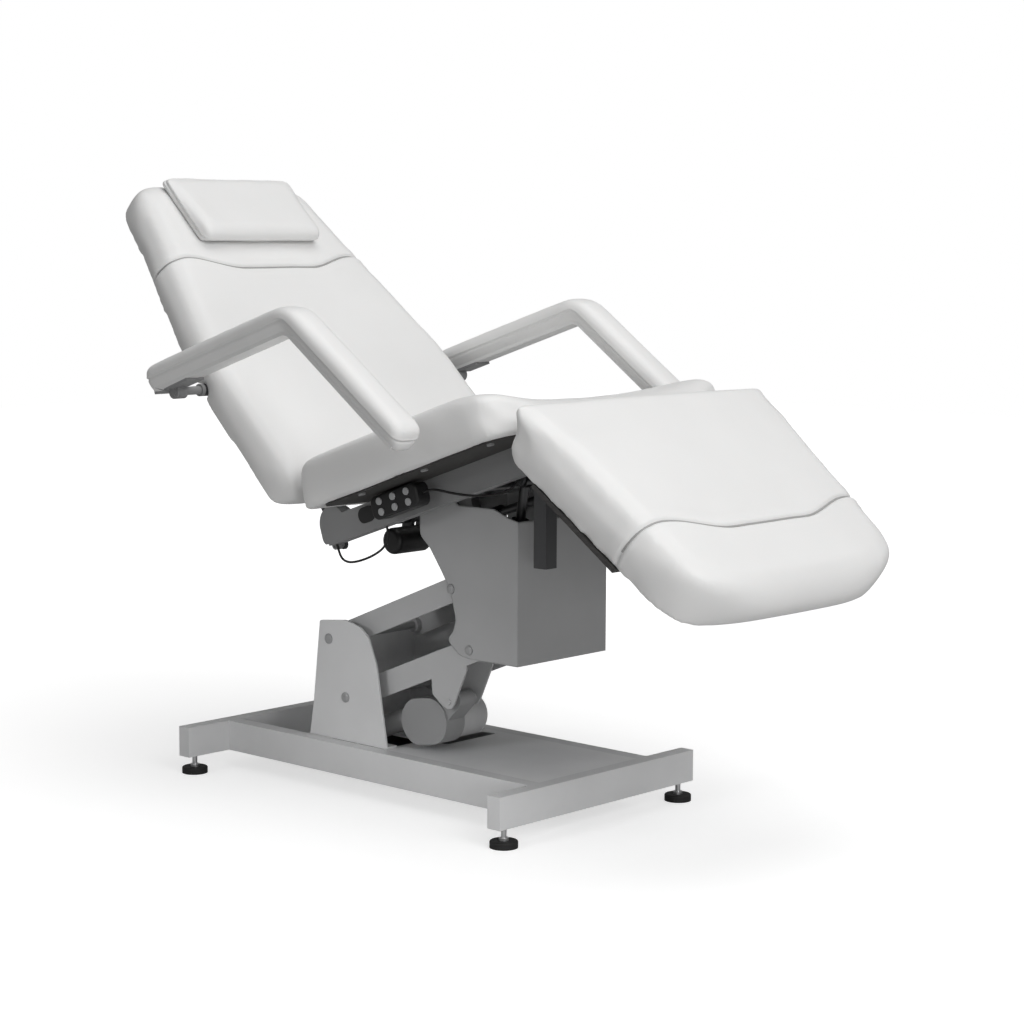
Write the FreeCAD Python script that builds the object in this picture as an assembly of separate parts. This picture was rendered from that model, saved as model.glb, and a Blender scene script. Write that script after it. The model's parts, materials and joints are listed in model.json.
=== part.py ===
"""Podiatry chair: scissor-free parallelogram lift column, tilting seat, reclining
backrest, raising leg rest and parallel-motion armrests.  Millimetres, +Z up,
+X towards the foot end, origin under the middle of the chair on the floor."""
import FreeCAD, Part
import math
import os

V = FreeCAD.Vector
os.makedirs("parts", exist_ok=True)

# ------------------------------------------------------------------ driving dimensions
X_SHIFT = -127.37       # model origin to the middle of the overall length

# base
BASE_HALF_X = 440.0     # outer face of both crossbars
BAR_W = 30.0            # crossbar and rail width
BAR_Z0, BAR_Z1 = 36.0, 96.0
BAR_HALF_Y = 271.0
RAIL_Y = 166.5          # outer face of the side rails
WALL = 2.5
FOOT_X, FOOT_Y = 425.0, 244.0
FOOT_PAD_R, FOOT_PAD_H = 25.6, 13.0
COVER_X0, COVER_T = 18.0, 2.5

# tower and parallelogram lift
TOWER_Y, TOWER_T = 135.0, 4.0
A1 = (-145.0, 292.0)    # upper arm on the tower
A2 = (-98.0, 182.0)     # lower arm on the tower
B1 = (175.0, 422.0)     # upper arm on the column
B2 = (222.0, 312.0)     # lower arm on the column
ARM_Y, ARM_T, ARM_D = 110.0, 4.0, 46.0
PIN_R = 8.0
FIT = 0.05              # radial running clearance
ACT_G = (157.0, 205.0)  # lift actuator on the lower arm
ACT_T = (-135.0, 90.0)  # lift actuator on the base
ACT_Y = -72.0
OPEN_PIVOT = 4.0        # radial play of an eye that only follows its pin

# column
COL_Y, COL_T = 122.5, 4.0
COL_X1 = 344.0
COL_Z0, COL_TOP = 296.0, 580.0
TILT_S = (140.0, 595.0) # seat tilt shaft
TILT_R = 12.0

# seat, in its own tilted axes (u along the seat, w square to it)
SEAT_TILT = 19.0
SEAT_U0, SEAT_U1 = 172.0, 721.5
SEAT_W0, SEAT_W1 = 540.0, 634.0
SEAT_HALF = 330.0
CH_Y0, CH_Y1 = 152.0, 180.0
CH_W0 = 487.0
HIP = (-85.0, 525.0)    # backrest hinge, x and z
KNEE = (486.0, 708.0)   # leg rest hinge, x and z
HINGE_R = 8.0

# backrest, s up along its back face, n forwards from it
BACK_ANG = 43.5
BACK_O = (-94.5, 575.1)
BACK_T = 80.0
BACK_S0, BACK_S1 = -30.0, 790.0
BACK_HALF, BACK_TAPER_S, BACK_TAPER = 329.0, 310.0, 0.22

# leg rest, s down along its underside, n up from it
LEG_ANG = -38.4
LEG_O = (460.0, 747.0)
LEG_T = 101.5
LEG_S0, LEG_S1 = 79.0, 530.0

# armrests
ARM_PIVOT_S, ARM_PIVOT_N = 285.0, 10.0
ARMREST_Y0, ARMREST_Y1 = 352.0, 428.0
CRANK = 45.0

BOARD_T = 12.0


# ------------------------------------------------------------------ helpers
def box(x0, x1, y0, y1, z0, z1):
    return Part.makeBox(x1 - x0, y1 - y0, z1 - z0, V(x0, y0, z0))


def cyl_y(x, z, y0, y1, r):
    return Part.makeCylinder(r, y1 - y0, V(x, y0, z), V(0, 1, 0))


def cyl_z(x, y, z0, z1, r):
    return Part.makeCylinder(r, z1 - z0, V(x, y, z0), V(0, 0, 1))


def rod(p, q, r):
    d = q.sub(p)
    return Part.makeCylinder(r, d.Length, p, d)


def ring_wire(pts, rads, to3d):
    """closed outline with a tangent arc at each corner of given radius"""
    n = len(pts)
    ends = []
    for i in range(n):
        p0, p, p1 = pts[i - 1], pts[i], pts[(i + 1) % n]
        r = rads[i] if isinstance(rads, (list, tuple)) else rads
        ax, ay = p0[0] - p[0], p0[1] - p[1]
        bx, by = p1[0] - p[0], p1[1] - p[1]
        la, lb = math.hypot(ax, ay), math.hypot(bx, by)
        ax, ay, bx, by = ax / la, ay / la, bx / lb, by / lb
        cosang = max(-1.0, min(1.0, ax * bx + ay * by))
        half = math.acos(cosang) / 2.0
        if r < 0.01 or abs(half - math.pi / 2) < 0.01:
            ends.append((p, None, p))
            continue
        d = r / math.tan(half)
        d = min(d, 0.48 * la, 0.48 * lb)
        rr = d * math.tan(half)
        t0 = (p[0] + ax * d, p[1] + ay * d)
        t1 = (p[0] + bx * d, p[1] + by * d)
        mx, my = ax + bx, ay + by
        lm = math.hypot(mx, my)
        h = rr / math.sin(half) - rr
        ends.append((t0, (p[0] + mx / lm * h, p[1] + my / lm * h), t1))
    edges = []
    for i in range(n):
        t0, m, t1 = ends[i]
        if m is not None:
            edges.append(Part.Arc(to3d(t0), to3d(m), to3d(t1)).toShape())
        nxt = ends[(i + 1) % n][0]
        if math.hypot(nxt[0] - t1[0], nxt[1] - t1[1]) > 1e-6:
            edges.append(Part.LineSegment(to3d(t1), to3d(nxt)).toShape())
    return Part.Wire(edges)


def plate_xz(pts, y0, y1, rads=0.0):
    w = ring_wire(pts, rads, lambda p: V(p[0], y0, p[1]))
    return Part.Face(w).extrude(V(0, y1 - y0, 0))


def plate_xy(pts, z0, z1, rads=0.0):
    w = ring_wire(pts, rads, lambda p: V(p[0], p[1], z0))
    return Part.Face(w).extrude(V(0, 0, z1 - z0))


def plate_yz(pts, x0, x1, rads=0.0):
    w = ring_wire(pts, rads, lambda p: V(x0, p[0], p[1]))
    return Part.Face(w).extrude(V(x1 - x0, 0, 0))


def fuse(*shapes):
    s = shapes[0]
    for t in shapes[1:]:
        s = s.fuse(t)
    s = s.removeSplitter()
    if len(s.Solids) == 1:
        return s.Solids[0]
    return s


def cut(s, *tools):
    for t in tools:
        s = s.cut(t)
    if len(s.Solids) == 1:
        return s.Solids[0]
    return s


def mirror_y(s):
    return s.mirror(V(0, 0, 0), V(0, 1, 0))


def local(s, x0, z0, ang):
    """from local a (along) and b (square to it) axes into the chair"""
    s = s.copy()
    s.rotate(V(0, 0, 0), V(0, 1, 0), -ang)
    s.translate(V(x0, 0, z0))
    return s


def soften(s, radius, pick):
    edges = [e for e in s.Edges if pick(e)]
    for r in (radius, radius * 0.7, radius * 0.4):
        try:
            t = s.makeFillet(r, edges)
            if t.isValid() and len(t.Solids) == 1 and abs(t.Volume) > 0:
                return t.Solids[0]
        except Exception:
            pass
    print("soften failed", radius)
    return s


def direction(p, q):
    dx, dz = q[0] - p[0], q[1] - p[1]
    ll = math.hypot(dx, dz)
    return dx / ll, dz / ll, ll


def seat_xz(u, w):
    c, s = math.cos(math.radians(SEAT_TILT)), math.sin(math.radians(SEAT_TILT))
    return (u * c - w * s, u * s + w * c)


def seat_uw(x, z):
    c, s = math.cos(math.radians(SEAT_TILT)), math.sin(math.radians(SEAT_TILT))
    return (x * c + z * s, -x * s + z * c)


def back_xz(s_, n):
    c, s = math.cos(math.radians(BACK_ANG)), math.sin(math.radians(BACK_ANG))
    return (BACK_O[0] - s_ * c + n * s, BACK_O[1] + s_ * s + n * c)


def back_sn(x, z):
    c, s = math.cos(math.radians(BACK_ANG)), math.sin(math.radians(BACK_ANG))
    dx, dz = x - BACK_O[0], z - BACK_O[1]
    return (-dx * c + dz * s, dx * s + dz * c)


def leg_sn(x, z):
    c, s = math.cos(math.radians(LEG_ANG)), math.sin(math.radians(LEG_ANG))
    dx, dz = x - LEG_O[0], z - LEG_O[1]
    return (dx * c + dz * s, -dx * s + dz * c)


OUT = {}


def keep(name, *solids):
    shapes = []
    for s in solids:
        for t in s.Solids:
            t = t.copy()
            t.translate(V(X_SHIFT, 0, 0))
            if not t.isValid():
                print("INVALID", name)
            shapes.append(t)
    OUT[name] = shapes


# ------------------------------------------------------------------ base
def tube_y(x0, x1, y0, y1, z0, z1, wall, ends=True):
    t = box(x0, x1, y0, y1, z0, z1)
    g = wall if ends else -1.0
    return cut(t, box(x0 + wall, x1 - wall, y0 + g, y1 - g, z0 + wall, z1 - wall))


bars = []
for sx in (-1, 1):
    xa = sx * BASE_HALF_X
    x0, x1 = min(xa, xa - sx * BAR_W), max(xa, xa - sx * BAR_W)
    bar = tube_y(x0, x1, -BAR_HALF_Y, BAR_HALF_Y, BAR_Z0, BAR_Z1, WALL)
    for sy in (-1, 1):
        nut = cyl_z(sx * FOOT_X, sy * FOOT_Y, BAR_Z0 + WALL, BAR_Z0 + WALL + 10, 9)
        bar = fuse(bar, nut)
        bar = cut(bar, cyl_z(sx * FOOT_X, sy * FOOT_Y, BAR_Z0 - 1, BAR_Z0 + 40, 5 + FIT))
    bars.append(bar)
keep("base_crossbars", *bars)

rails = []
rail_x = BASE_HALF_X - BAR_W
for sy in (-1, 1):
    y0, y1 = sorted((sy * RAIL_Y, sy * (RAIL_Y - BAR_W)))
    r = box(-rail_x, rail_x, y0, y1, BAR_Z0, BAR_Z1)
    r = cut(r, box(-rail_x - 1, rail_x + 1, y0 + WALL, y1 - WALL, BAR_Z0 + WALL, BAR_Z1 - WALL))
    rails.append(r)
keep("base_side_rails", *rails)

rail_in = RAIL_Y - BAR_W
cover = box(COVER_X0, rail_x, -rail_in, rail_in, BAR_Z1 - COVER_T, BAR_Z1)
# slot for the leads under the lift motor, and a pan that closes the base from below
cover = cut(cover, plate_xy([(26, -22), (66, -22), (66, 118), (26, 118)], BAR_Z1 - 10, BAR_Z1 + 5, 6))
pan = box(-rail_x, rail_x, -rail_in, rail_in, BAR_Z0, BAR_Z0 + 2)
keep("base_cover_plate", cover, pan)

for i, (sx, sy) in enumerate(((1, -1), (1, 1), (-1, 1), (-1, -1)), 1):
    x, y = sx * FOOT_X, sy * FOOT_Y
    pad = cyl_z(x, y, 0, FOOT_PAD_H, FOOT_PAD_R)
    pad = soften(pad, 3.0, lambda e: abs(e.BoundBox.ZMax - FOOT_PAD_H) < 0.01 and abs(e.BoundBox.ZMin - FOOT_PAD_H) < 0.01)
    stem = fuse(cyl_z(x, y, FOOT_PAD_H - 5, 78, 5), cyl_z(x, y, FOOT_PAD_H, FOOT_PAD_H + 5, 9))
    pad = cut(pad, cyl_z(x, y, FOOT_PAD_H - 5, FOOT_PAD_H + 1, 5))
    keep("levelling_foot_%d" % i, pad, stem)

# ------------------------------------------------------------------ tower
TOWER = [(-201, BAR_Z1), (-190, 160), (-178, 266), (-171, 326), (-99, 334), (-56, 324),
         (-34, 306), (-13, 257), (16, BAR_Z1)]
tower_r = [0, 0, 0, 5, 20, 20, 30, 60, 0]
side = plate_xz(TOWER, -TOWER_Y, -TOWER_Y + TOWER_T, tower_r)
side_b = plate_xz(TOWER, TOWER_Y - TOWER_T, TOWER_Y, tower_r)
web = plate_xz([(-201, BAR_Z1), (-190, 160), (-178, 266), (-172.2, 316), (-168.2, 316), (-174, 266), (-186, 160), (-197, BAR_Z1)],
               -TOWER_Y + TOWER_T, TOWER_Y - TOWER_T)
floor = box(-197, 16, -TOWER_Y + TOWER_T, TOWER_Y - TOWER_T, BAR_Z1, BAR_Z1 + 4)
floor = cut(floor, box(-160, 20, ACT_Y - 36, ACT_Y + 36, BAR_Z1 - 5, BAR_Z1 + 9))
tower = fuse(side, side_b, web, floor)
holes = [cyl_y(A1[0], A1[1], -200, 200, PIN_R), cyl_y(A2[0], A2[1], -200, 200, PIN_R)]
tower = cut(tower, *holes)
keep("tower_bracket", tower)

# lugs that carry the rod end of the lift actuator, welded across the rails' gap
tx, tz = ACT_T
anchor_bar = box(tx - 42, tx - 26, -rail_in, rail_in, BAR_Z0 + 8, BAR_Z0 + 48)
lugs = [anchor_bar]
for y0 in (ACT_Y - 22, ACT_Y + 16):
    lugs.append(plate_xz([(tx - 28, BAR_Z0 + 10), (tx + 8, BAR_Z0 + 20), (tx + 14, tz), (tx + 4, tz + 14),
                          (tx - 12, tz + 12), (tx - 28, BAR_Z0 + 46)], y0, y0 + 6, [0, 6, 10, 10, 6, 0]))
anchor = cut(fuse(*lugs), cyl_y(tx, tz, ACT_Y - 40, ACT_Y + 40, 6))
anchor_pin = cyl_y(tx, tz, ACT_Y - 26, ACT_Y + 26, 6)
keep("lift_actuator_anchor", anchor, anchor_pin)


def domed_pin(x, z, y_out, r, head_r=10.0, head_h=5.0):
    """pin right across the chair with a low domed head at both ends"""
    p = cyl_y(x, z, -y_out, y_out, r)
    for sy in (-1, 1):
        y0 = sy * y_out
        disc = Part.makeCylinder(head_r, head_h * 0.45, V(x, y0, z), V(0, sy, 0))
        cap = Part.makeCone(head_r, head_r * 0.55, head_h * 0.55, V(x, y0 + sy * head_h * 0.45, z), V(0, sy, 0))
        p = fuse(p, disc, cap)
    return p


keep("tower_pivot_pins", domed_pin(A1[0], A1[1], TOWER_Y, PIN_R), domed_pin(A2[0], A2[1], TOWER_Y, PIN_R))


# ------------------------------------------------------------------ lift arms
def arm_outline(p, q, d, e0, e1):
    """bar of depth d between two pivots, square to the line, with rounded ends"""
    ux, uz, ll = direction(p, q)
    nx, nz = -uz, ux
    h = d / 2.0
    out = []
    for t, n in ((-e0, -h), (ll + e1, -h), (ll + e1, h), (-e0, h)):
        out.append((p[0] + ux * t + nx * n, p[1] + uz * t + nz * n))
    return out


def arm_web(p, q, t0, t1, n0, n1, y):
    ux, uz, ll = direction(p, q)
    nx, nz = -uz, ux
    out = []
    for t, n in ((t0, n0), (t1, n0), (t1, n1), (t0, n1)):
        out.append((p[0] + ux * t + nx * n, p[1] + uz * t + nz * n))
    return plate_xz(out, -y, y)


def lift_arm(p, q, bore_p, bore_q, web0, web1):
    outline = arm_outline(p, q, ARM_D, 18, 23)
    h = ARM_D / 2
    parts = [plate_xz(outline, -ARM_Y, -ARM_Y + ARM_T, 20), plate_xz(outline, ARM_Y - ARM_T, ARM_Y, 20),
             arm_web(p, q, web0, web1, h - ARM_T, h, ARM_Y - ARM_T)]
    for sy in (-1, 1):
        y0, y1 = sorted((sy * (ARM_Y - 16), sy * (TOWER_Y - TOWER_T - 0.4)))
        parts.append(cyl_y(p[0], p[1], y0, y1, 15))
        y0, y1 = sorted((sy * (ARM_Y - 16), sy * (COL_Y - COL_T - 0.4)))
        parts.append(cyl_y(q[0], q[1], y0, y1, 15))
    return parts, [cyl_y(p[0], p[1], -150, 150, bore_p), cyl_y(q[0], q[1], -150, 150, bore_q)]


parts_, bores_ = lift_arm(A1, B1, PIN_R + FIT, PIN_R + 1.5, 60, 285)
keep("upper_lift_arm", cut(fuse(*parts_), *bores_))
parts_, bores_ = lift_arm(A2, B2, PIN_R + FIT, PIN_R + FIT, 70, 285)
ux, uz, arm_len = direction(A2, B2)
gus = [(112, 243), (114, 214), (142, 195), (152, 191), (164, 192), (171, 202), (203, 271), (200, 290), (130, 262)]
gr = [0, 10, 6, 6, 6, 6, 0, 0, 0]
for y0 in (-ARM_Y, ACT_Y + 32):
    parts_.append(plate_xz(gus, y0, y0 + ARM_T, gr))
tie = arm_web(A2, B2, 235, 247, -20, 20, ARM_Y - ARM_T)
parts_.append(tie)
gx, gz = ACT_G
lower = cut(fuse(*parts_), *bores_)
lower = fuse(lower, cyl_y(gx, gz, -ARM_Y - 3, ACT_Y + 39, 6))
keep("lower_lift_arm", lower)

# ------------------------------------------------------------------ lift actuator
adx, adz, alen = direction(ACT_G, ACT_T)
MOTOR = (81.0, 153.0)


def on_axis(t, off=0.0):
    """point along the actuator from its clevis, off = to the lower side"""
    return (gx + adx * t + adz * off * -1.0, gz + adz * t + adx * off)


def belt_plate(c1, r1, c2, r2, y0, y1):
    """flat housing around two circles, its sides tangent to both"""
    ux1, uz1, l1 = direction(c1, c2)
    k = (r1 - r2) / l1
    h_ = math.sqrt(1 - k * k)
    pts = []
    for c, r, sgn in ((c1, r1, 1), (c2, r2, 1), (c2, r2, -1), (c1, r1, -1)):
        nx, nz = ux1 * k - uz1 * h_ * sgn, uz1 * k + ux1 * h_ * sgn
        pts.append((c[0] + nx * r, c[1] + nz * r))
    return fuse(plate_xz(pts, y0, y1), cyl_y(c1[0], c1[1], y0, y1, r1), cyl_y(c2[0], c2[1], y0, y1, r2))


# gearbox: rounded housing around the worm wheel and the motor's end
GEAR_R = 45.0
GEAR_A, GEAR_B = (MOTOR[0] - 15, MOTOR[1] - 1), (MOTOR[0] + 16, MOTOR[1] + 4)
gear = fuse(belt_plate(GEAR_A, GEAR_R, GEAR_B, GEAR_R - 0.5, ACT_Y - 28, ACT_Y + 22), belt_plate(GEAR_B, 26.0, ACT_G, 17.0, ACT_Y - 24, ACT_Y + 18))
gear = cut(gear, cyl_y(gx, gz, -150, 0, 6 + FIT))
motor = cyl_y(MOTOR[0], MOTOR[1], ACT_Y + 22, 44, 40)
motor = soften(motor, 16.0, lambda e: e.BoundBox.YMin > 43.9)
keep("lift_actuator_motor", motor)
p0, p1 = on_axis(96), on_axis(232)
tube = rod(V(p0[0], ACT_Y, p0[1]), V(p1[0], ACT_Y, p1[1]), 21)
gear = cut(fuse(gear, tube), rod(V(*[on_axis(100)[0], ACT_Y, on_axis(100)[1]]), V(p1[0] + adx * 5, ACT_Y, p1[1] + adz * 5), 12 + FIT))
keep("lift_actuator_gearbox", gear)
q0, q1 = on_axis(132), on_axis(alen - 16)
rod_s = rod(V(q0[0], ACT_Y, q0[1]), V(q1[0], ACT_Y, q1[1]), 12)
eye = cyl_y(tx, tz, ACT_Y - 12, ACT_Y + 12, 17)
rod_s = cut(fuse(rod_s, eye), cyl_y(tx, tz, ACT_Y - 30, ACT_Y + 30, 6 + OPEN_PIVOT))
keep("lift_actuator_rod", rod_s)

# ------------------------------------------------------------------ column
COLP = [(94, 516), (120, 494), (149, 455), (173, 420), (188, 365), (180, 342), (165, 326), (196, 300),
        (222, COL_Z0), (COL_X1, COL_Z0), (COL_X1, 561), (320, 566), (283, COL_TOP), (190, COL_TOP),
        (172, 606), (150, 616), (128, 610), (108, 600), (92, 590)]
colr = [20, 25, 40, 40, 25, 12, 12, 25, 20, 0, 0, 10, 10, 10, 10, 12, 12, 12, 12]
pl = plate_xz(COLP, -COL_Y, -COL_Y + COL_T, colr)
pr = mirror_y(pl)
front = box(COL_X1 - COL_T, COL_X1, -COL_Y + COL_T, COL_Y - COL_T, COL_Z0, 561)
shelf = box(268, COL_X1 - COL_T, -COL_Y + COL_T, COL_Y - COL_T, 328, 332)
col = fuse(pl, pr, front, shelf)
vert = [e for e in col.Edges if abs(e.BoundBox.XMin - COL_X1) < 0.01 and abs(e.BoundBox.XMax - COL_X1) < 0.01
        and abs(abs(e.CenterOfMass.y) - COL_Y) < 0.01 and e.BoundBox.ZLength > 200]
try:
    c2 = col.makeFillet(7.0, vert)
    if c2.isValid() and len(c2.Solids) == 1:
        col = c2.Solids[0]
except Exception:
    print("column bend left square")
for (x, z), r in ((B1, PIN_R), (B2, PIN_R), (TILT_S, TILT_R)):
    col = cut(col, cyl_y(x, z, -200, 200, r))
keep("column_housing", col)
keep("column_pivot_pins", domed_pin(B1[0], B1[1], COL_Y, PIN_R, 9.0, 4.0), domed_pin(B2[0], B2[1], COL_Y, PIN_R, 9.0, 4.0))
shaft = cyl_y(TILT_S[0], TILT_S[1], -CH_Y1 - 3, CH_Y1 + 3, TILT_R)
for sy in (-1, 1):
    y0, y1 = sorted((sy * (COL_Y + 0.01), sy * (CH_Y0 - 0.4)))
    shaft = fuse(shaft, cyl_y(TILT_S[0], TILT_S[1], y0, y1, 19))
keep("seat_tilt_shaft", shaft)

# control box on the front wall inside, its mains inlet looking down
cbox = soften(box(286, COL_X1 - COL_T, -10, 90, 352, 500), 4.0, lambda e: True)
keep("control_box", cbox)
inlet = fuse(box(300, 328, 22, 50, 320, 351.9), box(296, 332, 14, 58, 323.9, 327.9))
inlet = cut(inlet, box(304, 324, 26, 46, 310, 342))
col = cut(col, box(299.9, 328.1, 21.9, 50.1, 300, 335))
keep("column_housing", col)
keep("mains_inlet", inlet)

# ------------------------------------------------------------------ tilt actuator
TA0 = (252.0, 352.0)     # on the column
TA1 = (300.0, 628.0)     # on the seat frame
TA_Y = -55.0
tdx, tdz, tlen = direction(TA0, TA1)


def ta(t, off=0.0):
    return (TA0[0] + tdx * t - tdz * off, TA0[1] + tdz * t + tdx * off)


bracket = []
for y0 in (TA_Y - 24, TA_Y + 18):
    bracket.append(plate_xz([(238, 360), (238, 340), (262, 334), (290, 332), (300, 332), (300, 340), (270, 360)], y0, y0 + 6,
                            [10, 8, 0, 0, 0, 0, 12]))
tb = cut(fuse(bracket[0]), cyl_y(TA0[0], TA0[1], -150, 0, 6)), cut(fuse(bracket[1]), cyl_y(TA0[0], TA0[1], -150, 0, 6))
col = fuse(col, bracket[0], bracket[1], cyl_y(TA0[0], TA0[1], TA_Y - 28, TA_Y + 28, 6))
keep("column_housing", col)
g1 = plate_xz([ta(-14, -15), ta(60, -15), ta(60, 15), ta(-14, 15)], TA_Y - 17, TA_Y + 17, 10)
m1 = rod(V(ta(38, 0)[0] - 10, TA_Y, ta(38, 0)[1]), V(ta(38, 0)[0] - 96, TA_Y, ta(38, 0)[1] + 8), 17)
t1 = rod(V(ta(55)[0], TA_Y, ta(55)[1]), V(ta(208)[0], TA_Y, ta(208)[1]), 16)
tbody = cut(fuse(g1, t1), cyl_y(TA0[0], TA0[1], -150, 0, 6 + FIT),
            rod(V(ta(66)[0], TA_Y, ta(66)[1]), V(ta(215)[0], TA_Y, ta(215)[1]), 9 + FIT))

mpos = ta(30, 0)
tm = soften(rod(V(mpos[0], TA_Y + 17, mpos[1]), V(mpos[0], TA_Y + 64, mpos[1]), 18), 6.0, lambda e: e.BoundBox.YMin > TA_Y + 63.9)
keep("tilt_actuator_body", fuse(tbody, tm))
r1 = fuse(rod(V(ta(125)[0], TA_Y, ta(125)[1]), V(ta(tlen - 10)[0], TA_Y, ta(tlen - 10)[1]), 9),
          cyl_y(TA1[0], TA1[1], TA_Y - 9, TA_Y + 9, 12))
keep("tilt_actuator_rod", cut(r1, cyl_y(TA1[0], TA1[1], -150, 0, 5 + OPEN_PIVOT - 1)))

# ------------------------------------------------------------------ seat frame
hip_u, hip_w = seat_uw(*HIP)
knee_u, knee_w = seat_uw(*KNEE)
LOBE_H, LOBE_K = 36.0, 24.0
ch_top = SEAT_W0


def channel(y0, y1):
    body = plate_xz([(hip_u, CH_W0), (knee_u, CH_W0), (knee_u, ch_top), (hip_u, ch_top)], y0, y1)
    lobe = cyl_y(hip_u, hip_w, y0, y1, LOBE_H)
    lobe = cut(lobe, box(hip_u + 40, hip_u + 300, y0 - 1, y1 + 1, 0, 900))
    knee = cyl_y(knee_u, knee_w, y0, y1, LOBE_K)
    rear_up = box(hip_u - 60, SEAT_U0 + 400, y0 - 1, y1 + 1, hip_w + LOBE_H + 1, 700)
    heel = plate_xz([(hip_u - LOBE_H, CH_W0), (hip_u + 42, CH_W0), (hip_u + 42, hip_w + 10), (hip_u - LOBE_H, hip_w + 10)], y0, y1, [18, 0, 0, 14])
    s = fuse(body, lobe, knee, heel)
    s = cut(s, box(SEAT_U0 - 14, SEAT_U1 + 1, y0 - 1, y1 + 1, ch_top, 800))
    # hollow: a thin walled channel, open on its inner side between the pivots
    s = cut(s, plate_xz([(hip_u + 52, CH_W0 + 4), (knee_u - 36, CH_W0 + 4), (knee_u - 36, ch_top - 4), (hip_u + 52, ch_top - 4)],
                        y0 - 1 if y0 > 0 else y0 + 4, y1 - 4 if y0 > 0 else y1 + 1, 6))
    return s


chan = []
for y0, y1 in ((CH_Y0, CH_Y1), (-CH_Y1, -CH_Y0)):
    s = channel(y0, y1)
    su, sw = seat_uw(*TILT_S)
    # solid boss for the tilt shaft
    s = fuse(s, cyl_y(su, sw, y0, y1, 24).common(box(su - 60, su + 60, y0, y1, CH_W0, ch_top)))
    # lug that carries the armrests' levelling link
    d_w = (-0.31 * CRANK / math.hypot(0.31, 0.95), -0.95 * CRANK / math.hypot(0.31, 0.95))
    h2u, h2w = seat_uw(HIP[0] + d_w[0], HIP[1] + d_w[1])
    ya, yb = (CH_Y0 - 6, CH_Y0 + 8) if y0 > 0 else (-CH_Y0 - 8, -CH_Y0 + 6)
    lug = fuse(plate_xz([(h2u - 9, h2w - 2), (h2u + 9, h2w - 2), (hip_u + 8, hip_w - 26), (hip_u - 22, hip_w - 26)], ya, yb),
               cyl_y(h2u, h2w, ya, yb, 9))
    s = fuse(s, lug)
    s = local(s, 0, 0, SEAT_TILT)
    s = cut(s, cyl_y(HIP[0], HIP[1], -CH_Y1 + 4, CH_Y1 - 4, HINGE_R), cyl_y(KNEE[0], KNEE[1], -200, 200, HINGE_R),
            cyl_y(TILT_S[0], TILT_S[1], -200, 200, TILT_R + FIT))
    H2 = (HIP[0] + d_w[0], HIP[1] + d_w[1])
    s = cut(s, cyl_y(H2[0], H2[1], -200, 200, 5))
    chan.append(s)


# cross tubes between the channels
ta1u, ta1w = seat_uw(*TA1)
cross = []
cu, cw = ta1u + 3, ta1w + 28
tube_c = cut(cyl_y(cu, cw, -CH_Y0, CH_Y0, 12.5), cyl_y(cu, cw, -CH_Y0 - 1, CH_Y0 + 1, 10))
for y0 in (TA_Y - 17, TA_Y + 11):
    lg = plate_xz([(ta1u - 12, ta1w), (ta1u, ta1w - 12), (ta1u + 12, ta1w), (cu + 11, cw), (cu - 11, cw)], y0, y0 + 6, [6, 8, 6, 0, 0])
    lg = cut(lg, cyl_y(cu, cw, y0 - 1, y0 + 7, 12))
    tube_c = fuse(tube_c, lg)
tube_c = local(tube_c, 0, 0, SEAT_TILT)
tube_c = cut(tube_c, cyl_y(TA1[0], TA1[1], -150, 0, 5))
tilt_pin = cyl_y(TA1[0], TA1[1], TA_Y - 20, TA_Y + 20, 5)
tube_c = fuse(tube_c, tilt_pin)

# backrest actuator anchor tube
BA0 = (300.0, 600.0)     # on the seat frame
BK = (-94.6, 470.8)      # on the backrest lever
BA_Y = 45.0
bu, bw = seat_uw(*BA0)
anc = []
for y0 in (BA_Y - 21, BA_Y + 15):
    lg = plate_xz([(bu - 12, bw), (bu, bw - 12), (bu + 12, bw), (cu + 11, cw), (cu - 11, cw)], y0, y0 + 6, [6, 8, 6, 0, 0])
    lg = cut(lg, cyl_y(cu, cw, y0 - 1, y0 + 7, 12))
    lg = local(lg, 0, 0, SEAT_TILT)
    anc.append(cut(lg, cyl_y(BA0[0], BA0[1], 0, 150, 5)))
keep("actuator_cross_tube", fuse(tube_c, anc[0], anc[1], cyl_y(BA0[0], BA0[1], BA_Y - 24, BA_Y + 24, 5)))

hinge_a = cyl_y(HIP[0], HIP[1], -CH_Y1 + 4, CH_Y1 - 4, HINGE_R)
hinge_b = fuse(cyl_y(KNEE[0], KNEE[1], -CH_Y1 - 1, CH_Y1 + 1, HINGE_R),
                                  cyl_y(KNEE[0], KNEE[1], CH_Y1 + 0.01, CH_Y1 + 4, 12), cyl_y(KNEE[0], KNEE[1], -CH_Y1 - 4, -CH_Y1 - 0.01, 12))
keep("frame_hinge_shafts", hinge_a, hinge_b)
chan[0] = fuse(chan[0], cyl_y(H2[0], H2[1], CH_Y0 - 22, CH_Y0 + 6, 5))
keep("seat_right_channel", fuse(chan[1], cyl_y(H2[0], H2[1], -CH_Y0 - 6, -CH_Y0 + 22, 5)))

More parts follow.
